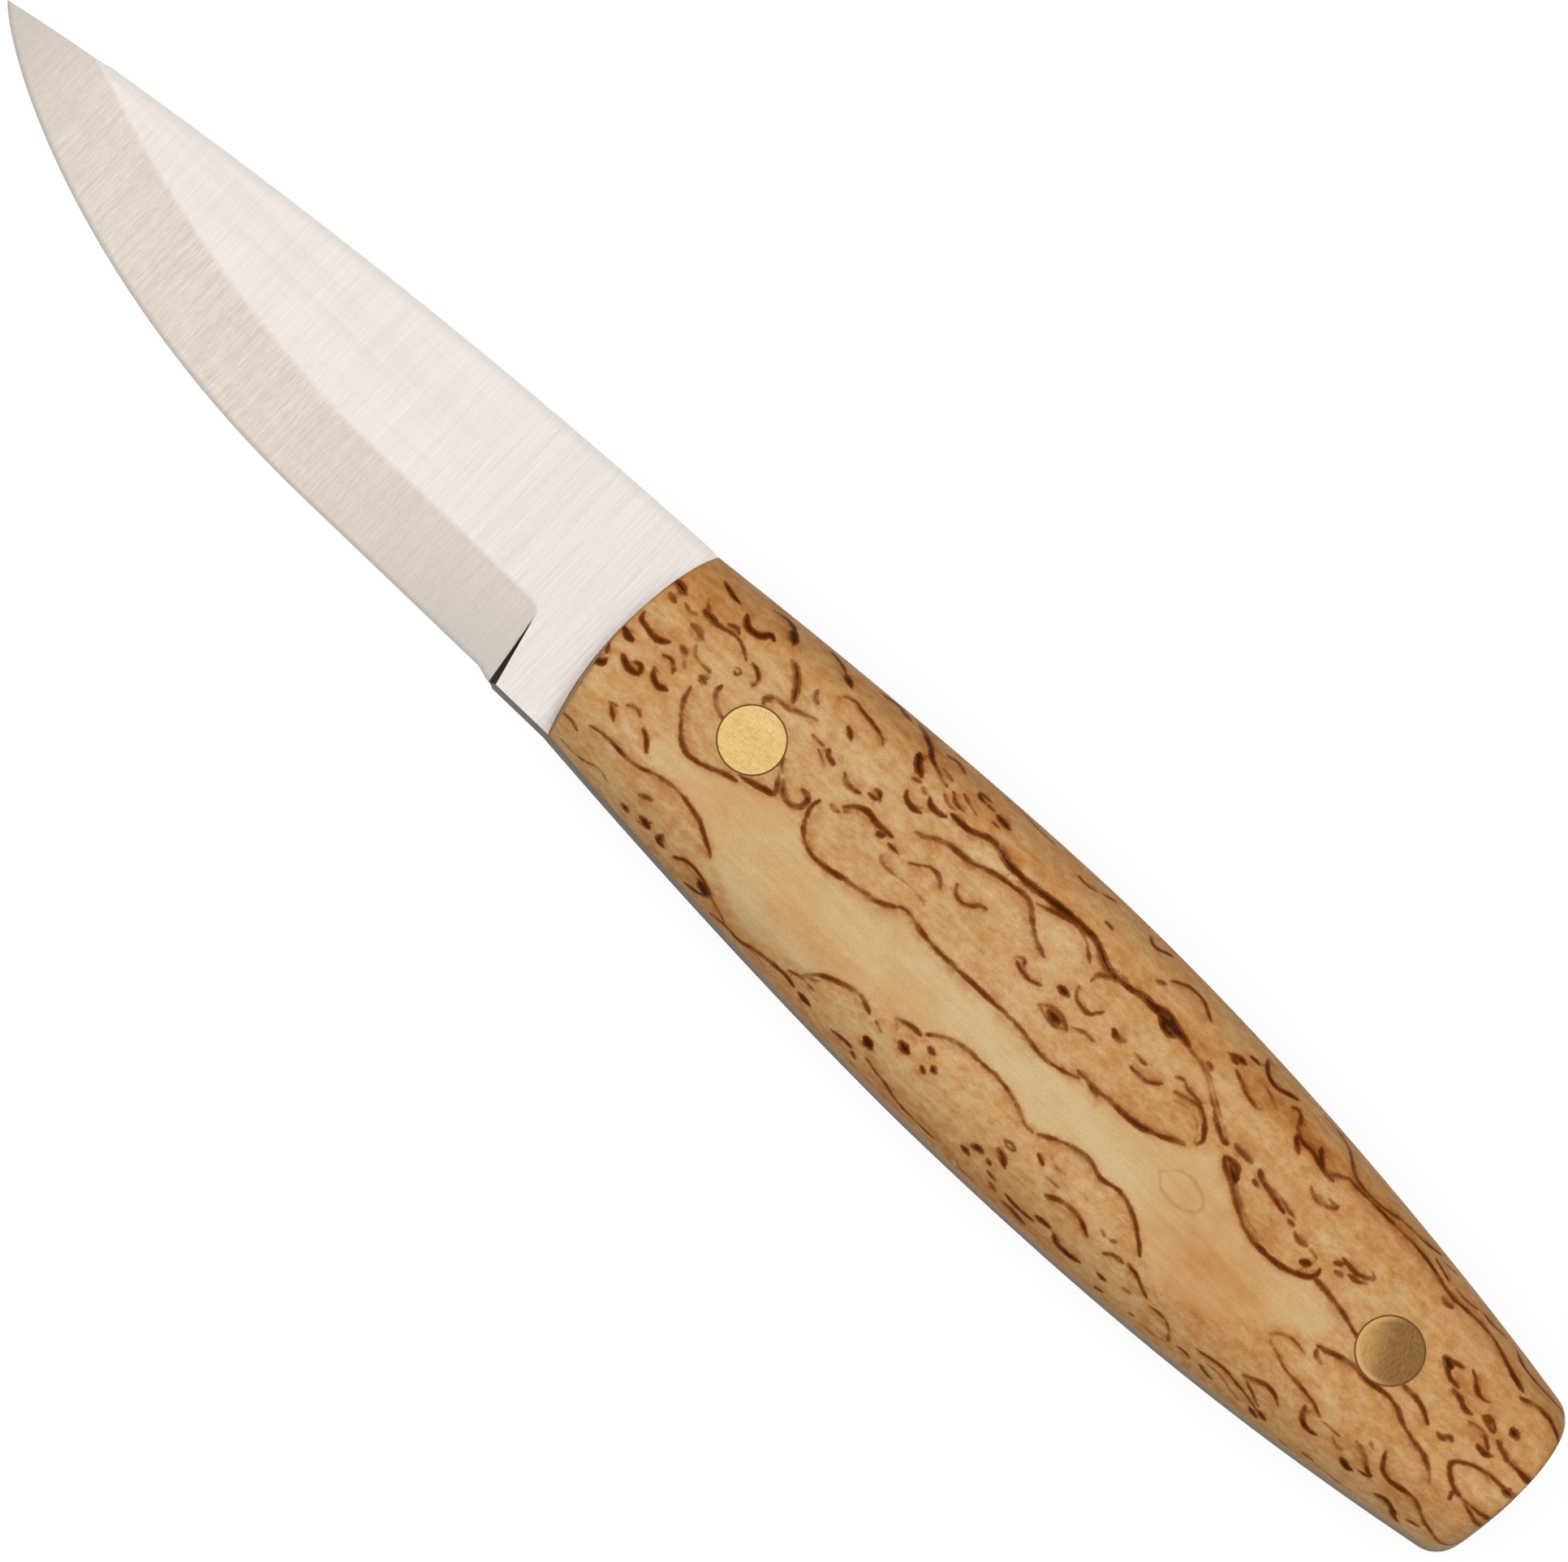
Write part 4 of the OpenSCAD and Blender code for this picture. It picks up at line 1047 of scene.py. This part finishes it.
def figure_at(laid, paths, mirrored):
    """Distance to the nearest line, its darkness, the stain on its hollow side, clear wood, and warmth, which
    also holds painted shade along the rims.
    """
    margin = 2.0
    hollow_reach, outer_reach = 0.9, 0.25
    clear_edge, clear_at_rim = 1.2, 0.4
    figured_warmth, clear_warmth = 0.53, 0.23
    x, y = laid.T
    gap, tone, stain = np.full(x.shape, margin), np.zeros(x.shape), np.zeros(x.shape)
    for path, half, dark in paths:
        low, high = path.min(0) - margin, path.max(0) + margin
        near = np.flatnonzero((x > low[0]) & (x < high[0]) & (y > low[1]) & (y < high[1]))
        away, share, stretch = nearest_on(path, x[near], y[near])
        away = away - mix(half[stretch], half[stretch + 1], share)
        closer = away < gap[near]
        gap[near] = np.where(closer, away, gap[near])
        tone[near] = np.where(closer, dark, tone[near])
        foot = path[stretch] + (path[stretch + 1] - path[stretch]) * share[:, None]
        hollow = ((laid[near] - foot) * (path.mean(0) - foot)).sum(1) > 0
        reach = np.where(hollow, hollow_reach, outer_reach)
        stain[near] = np.maximum(stain[near], dark * np.exp(-np.clip(away, 0, None) / reach))
    pale = laid_flat(clear_wood)
    clouds = np.array(figure_clouds, float)
    clouds[:, :2] = laid_flat(clouds[:, :2])
    if mirrored:
        pale, clouds[:, :2] = other_side(pale), other_side(clouds[:, :2])
    pale = np.concatenate([pale, pale[:1]])
    inside = np.zeros(x.shape, bool)
    for (ax, ay), (bx, by) in zip(pale[:-1], pale[1:]):
        inside ^= ((ay > y) != (by > y)) & (x < ax + (bx - ax) * (y - ay) / (by - ay + 1e-12))
    depth = nearest_on(pale, x, y)[0] * np.where(inside, 1, -1)
    clear = smooth(np.clip(depth / clear_edge + clear_at_rim, 0, 1))
    warmth = mix(figured_warmth, clear_warmth, clear)
    for mid_x, mid_y, along, across, amount in clouds:
        warmth += amount * np.exp(-(((x - mid_x) / along) ** 2) - ((y - mid_y) / across) ** 2)
    return {"line_gap": gap, "line_tone": tone, "stain": stain, "clear": clear, "warmth": warmth}


def line_rim(path, half):
    """The closed rim of a line of the figure: along one side, round its end, back, and round its start."""
    ahead = np.gradient(path, axis=0)
    ahead /= np.linalg.norm(ahead, axis=1, keepdims=True)
    aside = np.column_stack([-ahead[:, 1], ahead[:, 0]]) * half[:, None]
    turn = np.radians([36, 72, 108, 144])[:, None]
    end = path[-1] + np.cos(turn) * aside[-1] + np.sin(turn) * ahead[-1] * half[-1]
    start = path[0] - np.cos(turn) * aside[0] - np.sin(turn) * ahead[0] * half[0]
    return np.concatenate([path + aside, end, (path - aside)[::-1], start])


def even_points():
    """Points spread over the unrolled skin, closer together where it turns."""
    along_steps = 190
    across_steps = 71
    draft_steps = 9
    round_steps = 12
    corner_steps = 5
    turn = end_draft + end_r * (1 - np.cos(np.radians(np.linspace(0, 90, round_steps))))
    corner = mix(end_draft + end_r, butt_corner_r, np.linspace(0, 1, corner_steps)[1:])
    ends = np.concatenate([np.linspace(0, end_draft, draft_steps)[:-1], turn, corner])
    body = np.linspace(ends[-1], handle_len - ends[-1], along_steps)[1:-1]
    d = np.concatenate([ends, body, handle_len - ends[::-1]])
    way = np.interp(d, long_steps, long_way)
    return np.meshgrid(way, np.linspace(-1, 1, across_steps), indexing="ij")


def scale_mesh(mirrored):
    """The left scale, or the right one turned over. Its faces follow the figure's lines and the two bores."""
    bore_steps = 96
    spread = 17.0
    margin = 0.3
    line_edge = 0.15
    cell = 0.22
    paths = figure_paths(mirrored)
    grid_way, grid_across = even_points()
    number = np.arange(grid_way.size).reshape(grid_way.shape)
    border = np.concatenate([number[:, 0], number[-1, 1:], number[::-1, -1][1:], number[0, ::-1][1:-1]])
    points = [np.column_stack([grid_way.ravel(), grid_across.ravel()])]
    chains = [np.append(border, border[0])]
    count = grid_way.size

    def draw(line, closed):
        nonlocal count
        points.append(unrolled(line))
        chain = np.arange(count, count + len(line))
        chains.append(np.append(chain, count) if closed else chain)
        count += len(line)

    around = np.linspace(0, 2 * math.pi, bore_steps + 1)[:-1]
    for pin_x in pin_xs:
        bore_x = pin_x + bore_r * np.cos(around)
        draw(np.column_stack([bore_x, bore_r * np.sin(around) + axis_drop(bore_x - FRONT_X)]), True)
    figure_start = count
    for path, half, _ in paths:
        draw(path, False)
        draw(line_rim(path, half), True)
        draw(line_rim(path, half + line_edge), True)
    points = np.concatenate(points)
    kept = (np.abs(points[:, 1]) < 1 - margin / spread) & (points[:, 0] > long_way[0] + margin)
    kept &= points[:, 0] < long_way[-1] - margin
    cells = [tuple(place) for place in np.round(points * [1, spread] / cell).astype(int)]
    drawn = set(cells[figure_start:])
    kept[: grid_way.size] = [place not in drawn for place in cells[: grid_way.size]]
    kept[border] = True
    renumbered = np.cumsum(kept) - 1
    edges = [
        (int(renumbered[a]), int(renumbered[b]))
        for chain in chains
        for a, b in zip(chain[:-1], chain[1:])
        if kept[a] and kept[b]
    ]
    flat = [Vector((u, v * spread)) for u, v in points[kept]]
    verts, _, faces, *_ = delaunay_2d_cdt(flat, edges, [], 0, 1e-4, False)
    solid, laid = skin_at(np.array([v.x for v in verts]), np.array([v.y for v in verts]) / spread)
    figure = figure_at(laid, paths, mirrored)
    sign = -1 if mirrored else 1
    solid[:, 2] = STEEL_Z + sign * (scale_foot + solid[:, 2])

    bm = bmesh.new()
    layers = [bm.verts.layers.float.new(name) for name in figure]
    made = []
    for point, *amounts in zip(solid, *figure.values()):
        made.append(bm.verts.new(point))
        for layer, amount in zip(layers, amounts):
            made[-1][layer] = amount
    for face in faces:
        middle = solid[face].mean(0)
        if min(math.hypot(middle[0] - pin_x, middle[1]) for pin_x in pin_xs) > bore_r * 0.999:
            bm.faces.new([made[n] for n in face])
    bmesh.ops.delete(bm, geom=[v for v in bm.verts if not v.link_faces], context="VERTS")
    bmesh.ops.dissolve_degenerate(bm, dist=weld, edges=bm.edges[:])
    bottom = STEEL_Z + sign * scale_foot
    bore_edges = [e for e in bm.edges if e.is_boundary and all(abs(v.co.z - bottom) > 1 for v in e.verts)]
    lowered = {}
    for edge in bore_edges:
        a, b = edge.verts
        for v in (a, b):
            if v not in lowered:
                lowered[v] = bm.verts.new((v.co.x, v.co.y, bottom), v)
        bm.faces.new((a, b, lowered[b], lowered[a]))
    open_edges = [e for e in bm.edges if e.is_boundary]
    bmesh.ops.triangle_fill(bm, edges=open_edges, use_beauty=True, use_dissolve=False)
    return bm


def birch_finish():
    """Oiled birch: pale wood with soft clouds, dark lines that stain it, curled grain and fine speckle, with
    painted shade on the end faces and the spine-side shoulders.
    """
    material, tree, shader = new_finish("figured_birch", Specular_IOR_Level=0.02)
    position = own_place(tree)

    def grained(stretch, detail, roughness):
        return noise(tree, vectors(tree, "MULTIPLY", position, stretch), 1.0, detail, roughness)

    ragged = grained((2600, 3400, 3400), 4.0, 0.65)
    fading = grained((420, 420, 420), 2.0, 0.5)
    cloud = grained((45, 130, 130), 3.0, 0.55)
    patches = grained((260, 420, 420), 3.0, 0.6)
    streaks = grained((110, 1900, 1900), 3.0, 0.6)
    sway = grained((520, 700, 700), 2.0, 0.5)
    mottle = grained((750, 1250, 1250), 4.0, 0.7)
    dashes = grained((900, 2600, 2600), 2.0, 0.6)
    speckle = grained((5200, 7500, 7500), 2.0, 0.7)
    curl = grained((900, 130, 130), 2.0, 0.5)

    # The wood between the lines, from pale and clear to warm and figured
    figured = reckoned(tree, "SUBTRACT", 1.0, carried(tree, "clear"))
    warm = carried(tree, "warmth")
    for pattern, amount in ((cloud, 0.1), (patches, 0.12), (streaks, 0.08)):
        warm = plus(tree, warm, ranged(tree, pattern, 0.3, 0.7, -amount, amount))
    blotches = ranged(tree, mottle, 0.28, 0.72, -0.32, 0.32)
    warm = plus(tree, warm, times(tree, blotches, ranged(tree, figured, 0, 1, 0.2, 1.0)))
    wood = put(tree, "ValToRGB", {"Fac": times(tree, warm, 0.625)})
    ramp = wood.color_ramp.elements
    ramp[0].color, ramp[1].color = srgb(213, 184, 139), srgb(148, 88, 40)
    for place, shade in ((0.21, (207, 169, 119)), (0.425, (199, 152, 98)), (0.625, (189, 133, 77))):
        ramp.new(place).color = srgb(*shade)
    curled = times(tree, ranged(tree, curl, 0.52, 0.72), ranged(tree, cloud, 0.45, 0.65, 0.0, 0.25))
    colour = tint(tree, curled, wood.outputs["Color"], srgb(220, 192, 148))
    colour = tint(tree, ranged(tree, speckle, 0.35, 0.75, 0.0, 0.3), colour, srgb(158, 110, 62))
    dashed = times(tree, ranged(tree, dashes, 0.6, 0.72, 0.0, 0.25), figured)
    colour = tint(tree, dashed, colour, srgb(146, 90, 46))

    # The stain beside the lines, the end faces darker partly as end grain and partly as painted shade, and
    # painted shade that makes the spine side redder
    stained = times(tree, carried(tree, "stain"), ranged(tree, mottle, 0.35, 0.62, 0.55, 1.0))
    colour = tint(tree, ranged(tree, stained, 0.08, 0.6, 0.0, 0.5), colour, srgb(178, 118, 62))
    colour = tint(tree, ranged(tree, stained, 0.48, 0.95, 0.0, 0.8), colour, srgb(136, 74, 30))
    facing = put(tree, "SeparateXYZ", {0: put(tree, "TexCoord").outputs["Normal"]}).outputs
    # Darker where the surface faces along the handle: end grain, and painted shade on the front wall.
    end_grain_and_painted_shade = ranged(tree, times(tree, facing["X"], facing["X"]), 0.6, 0.95, 0.0, 0.4)
    colour = tint(tree, end_grain_and_painted_shade, colour, srgb(112, 72, 38))
    # Painted shade: shoulders facing the spine side are made redder and darker by which way they face.
    painted_spine_shade = vectors(tree, "MULTIPLY", colour, (1.02, 0.9, 0.79))
    colour = tint(tree, ranged(tree, facing["Y"], 0.02, 0.4), colour, painted_spine_shade)

    # The lines themselves, ragged at the rim and darkest in the middle of the broad ones
    uneven = ranged(tree, ragged, 0.2, 0.8, -0.045, 0.045)
    uneven = plus(tree, uneven, ranged(tree, sway, 0.25, 0.75, -0.12, 0.12))
    gap = plus(tree, carried(tree, "line_gap"), uneven)
    strength = times(tree, carried(tree, "line_tone"), ranged(tree, fading, 0.32, 0.62, 0.42, 1.0))
    brown = times(tree, ranged(tree, gap, 0.15, -0.03), strength)
    colour = tint(tree, brown, colour, srgb(136, 71, 25))
    dark = times(tree, ranged(tree, gap, 0.03, -0.12), strength)
    colour = tint(tree, dark, colour, srgb(92, 42, 10))
    colour = tint(tree, ranged(tree, gap, -0.18, -0.36, 0.0, 0.85), colour, srgb(50, 22, 5))
    grain = relief(tree, reckoned(tree, "SUBTRACT", speckle, dark), 0.2, 0.00002)
    feed(tree, shader, Base_Color=colour, Roughness=ranged(tree, mottle, 0.3, 0.7, 0.42, 0.54), Normal=grain)
    return material


birch = birch_finish()
for side_name, is_right in (("left", False), ("right", True)):
    scale = add_piece(side_name + "_scale_birch", scale_mesh(is_right), birch, crease=30)
    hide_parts(side_name + "_scale")
    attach(scale, "root")

# Pins and the bond around them
# Two brass rods through both scales and the tang, glued in, then sanded flush with the wood. The sanding
# left fine lines on their ends, and the glue shows as a thin dark ring. The rear pin is darker, most of all
# towards one side, with a painted highlight on its rim.
pin_r = 3.0
half_pin = 8.999
pin_ease = 0.015
pin_crown = 0.01
glue_sunk = 0.006
glue_dip = 0.01
glue_dip_out = 0.06
paper_lines = (1500, 9500, 1500)


def turned_rings(bm, x, upper_profile, steps=96):
    """Rings about an upright axis at x, from radius and height pairs of the upper half, and their mirror."""
    around = np.linspace(0, 2 * math.pi, steps + 1)[:-1]
    profile = upper_profile + [(r, -z) for r, z in upper_profile[::-1]]

    def ring(r, z):
        return [bm.verts.new((x + r * math.cos(a), r * math.sin(a), STEEL_Z + z)) for a in around]

    return [ring(r, z) for r, z in profile]


def pin_mesh(x):
    """A rod with slightly crowned ends and eased rims."""
    bm = bmesh.new()
    rim = half_pin - pin_crown
    crowned = [(pin_r / 3, half_pin), (pin_r * 2 / 3, half_pin - pin_crown * 0.3)]
    crowned += [(pin_r - pin_ease, rim), (pin_r, rim - pin_ease)]
    rings = turned_rings(bm, x, crowned)
    bands(bm, rings)
    bm.faces.new(rings[0])
    bm.faces.new(rings[-1])
    return bm


def sleeve_mesh(x):
    """The glue between a pin and its bore, a little sunk at both ends."""
    bm = bmesh.new()
    rim = half_pin - glue_sunk
    rings = turned_rings(bm, x, [(pin_r, rim), (pin_r + glue_dip_out, rim - glue_dip), (bore_r, rim)])
    bands(bm, rings + rings[:1])
    return bm


def brass_finish(name, pale, dull, turn, roughness):
    """Sanded brass: the lines of the last paper show as paler and duller strokes. The colour is fed later."""
    material, tree, shader, lines, streaks = worked_metal(name, paper_lines, turn, roughness, 0.000006)
    crossing = ground_marks(tree, paper_lines, turn + 90)[0]
    marks = plus(tree, ranged(tree, lines, 0.3, 0.7, 0, 0.5), ranged(tree, streaks, 0.3, 0.7, 0, 0.15))
    marks = plus(tree, marks, ranged(tree, crossing, 0.3, 0.7, 0.0, 0.35))
    return material, tree, shader, tint(tree, marks, pale, dull)


def bright_finish():
    bright, worn = srgb(255, 228, 158), srgb(208, 158, 82)
    material, tree, shader, colour = brass_finish("sanded_brass", bright, worn, -12, 0.34)
    feed(tree, shader, Base_Color=colour)
    return material


def darker_brass_finish():
    """Darker from one side of the pin's end to the other, with a painted highlight on the rim of the paler
    side.
    """
    turn = 78
    bright, worn = srgb(230, 184, 120), srgb(170, 125, 72)
    material, tree, shader, colour = brass_finish("darker_brass", bright, worn, turn, 0.36)
    offset = vectors(tree, "SUBTRACT", own_place(tree), (pin_xs[1] * MM, 0.0, 0.0))
    towards_darker_side = vectors(tree, "DOT_PRODUCT", offset, (0.87, 0.5, 0.0), "Value")
    darker_across = ranged(tree, towards_darker_side, -0.0031, 0.0006, 0.0, 0.85)
    lines = ranged(tree, ground_marks(tree, paper_lines, turn)[0], 0.3, 0.7)
    colour = tint(tree, darker_across, colour, tint(tree, lines, srgb(150, 108, 63), srgb(107, 73, 38)))
    level = vectors(tree, "MULTIPLY", offset, (1.0, 1.0, 0.0))
    from_middle = put(tree, "VectorMath", {0: level}, operation="LENGTH").outputs["Value"]
    # Painted highlight: a pale crescent on the rim, on the paler side of the pin's end.
    highlight_side = ranged(tree, towards_darker_side, 0.0012, -0.0016, 0.0, 0.8)
    painted_rim_highlight = times(tree, ranged(tree, from_middle, 0.0024, 0.0029), highlight_side)
    feed(tree, shader, Base_Color=tint(tree, painted_rim_highlight, colour, srgb(220, 178, 118)))
    return material


for pin_name, pin_x, brass in (("front", pin_xs[0], bright_finish()), ("rear", pin_xs[1], darker_brass_finish())):
    sleeve = add_piece(pin_name + "_pin_glue", sleeve_mesh(pin_x), resin)
    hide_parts(pin_name + "_pin_bond")
    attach(sleeve, "root")
    pin = add_piece(pin_name + "_pin_brass", pin_mesh(pin_x), brass)
    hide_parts(pin_name + "_pin")
    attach(pin, "root")

# Floor, light and camera
# The knife lies on a pale floor under one broad soft lamp, in even pale surroundings. A long lens looks down
# on its left side, a little from the edge side, with the knife across the picture from corner to corner.
floor_half = 2000
floor_below = 0.05
floor_grey = (0.24, 0.24, 0.24, 1.0)
floor_glow = 0.82
low_grey = (0.3, 0.3, 0.3, 1.0)
white = (1.0, 1.0, 1.0, 1.0)
white_from = 0.85
surround_light = 0.875


def seen_directly(tree):
    """1 for what the camera sees directly, in a reflection or through glass, and 0 for light on the scene."""
    path = put(tree, "LightPath").outputs
    seen = reckoned(tree, "MAXIMUM", path["Is Camera Ray"], path["Is Glossy Ray"])
    return reckoned(tree, "MAXIMUM", seen, path["Is Transmission Ray"])


floor_bm = bmesh.new()
bmesh.ops.create_grid(floor_bm, x_segments=4, y_segments=4, size=floor_half)
bmesh.ops.translate(floor_bm, vec=(0, 0, -floor_below), verts=floor_bm.verts[:])
floor_paint, tree, shader = new_finish(
    "pale_floor", Base_Color=floor_grey, Roughness=0.9, Emission_Color=white
)
feed(tree, shader, Emission_Strength=times(tree, seen_directly(tree), floor_glow))
floor = add_piece("floor", floor_bm, floor_paint)

world = bpy.data.worlds.new("pale_surroundings")
bpy.context.scene.world = world
world.use_nodes = True
tree = world.node_tree
height = put(tree, "SeparateXYZ", {0: put(tree, "TexCoord").outputs["Generated"]}).outputs["Z"]
shade = put(tree, "ValToRGB", {"Fac": height})
shade.color_ramp.elements[0].color = low_grey
shade.color_ramp.elements[1].color = white
shade.color_ramp.elements[1].position = white_from
brightness = ranged(tree, seen_directly(tree), 0.0, 1.0, surround_light, 1.0)
feed(tree, tree.nodes["Background"], Color=shade.outputs["Color"], Strength=brightness)

lamp_data = bpy.data.lights.new("soft_box", "AREA")
lamp_data.shape = "SQUARE"
lamp_data.size = 0.7
lamp_data.energy = 2.45
lamp = bpy.data.objects.new("soft_box", lamp_data)
lamp.location = (0.0, -0.25, 0.75)
lamp.rotation_euler = (math.atan2(-lamp.location.y, lamp.location.z), 0.0, 0.0)
lamp.visible_glossy = False
lamp.visible_camera = False
bpy.context.scene.collection.objects.link(lamp)

picture_w = 1932
mm_per_pixel = 0.07
view_roll = math.radians(43.75)
view_distance = 5.0
aim = Vector((3.34, -0.65, 18.0)) * MM
camera_data = bpy.data.cameras.new("camera")
camera_data.sensor_width = 36.0
camera_data.lens = camera_data.sensor_width * view_distance / (picture_w * mm_per_pixel * MM)
camera = bpy.data.objects.new("camera", camera_data)
level_up = Vector((0.0, math.cos(seen_tilt), math.sin(seen_tilt)))
level_right = Vector((1.0, 0.0, 0.0))
back = level_right.cross(level_up)
right = level_right * math.cos(view_roll) + level_up * math.sin(view_roll)
up = level_up * math.cos(view_roll) - level_right * math.sin(view_roll)
facing = Matrix((right, up, back)).transposed().to_4x4()
camera.matrix_world = Matrix.Translation(aim + back * view_distance) @ facing
bpy.context.scene.collection.objects.link(camera)
bpy.context.scene.camera = camera
bpy.context.scene.view_settings.view_transform = "Standard"
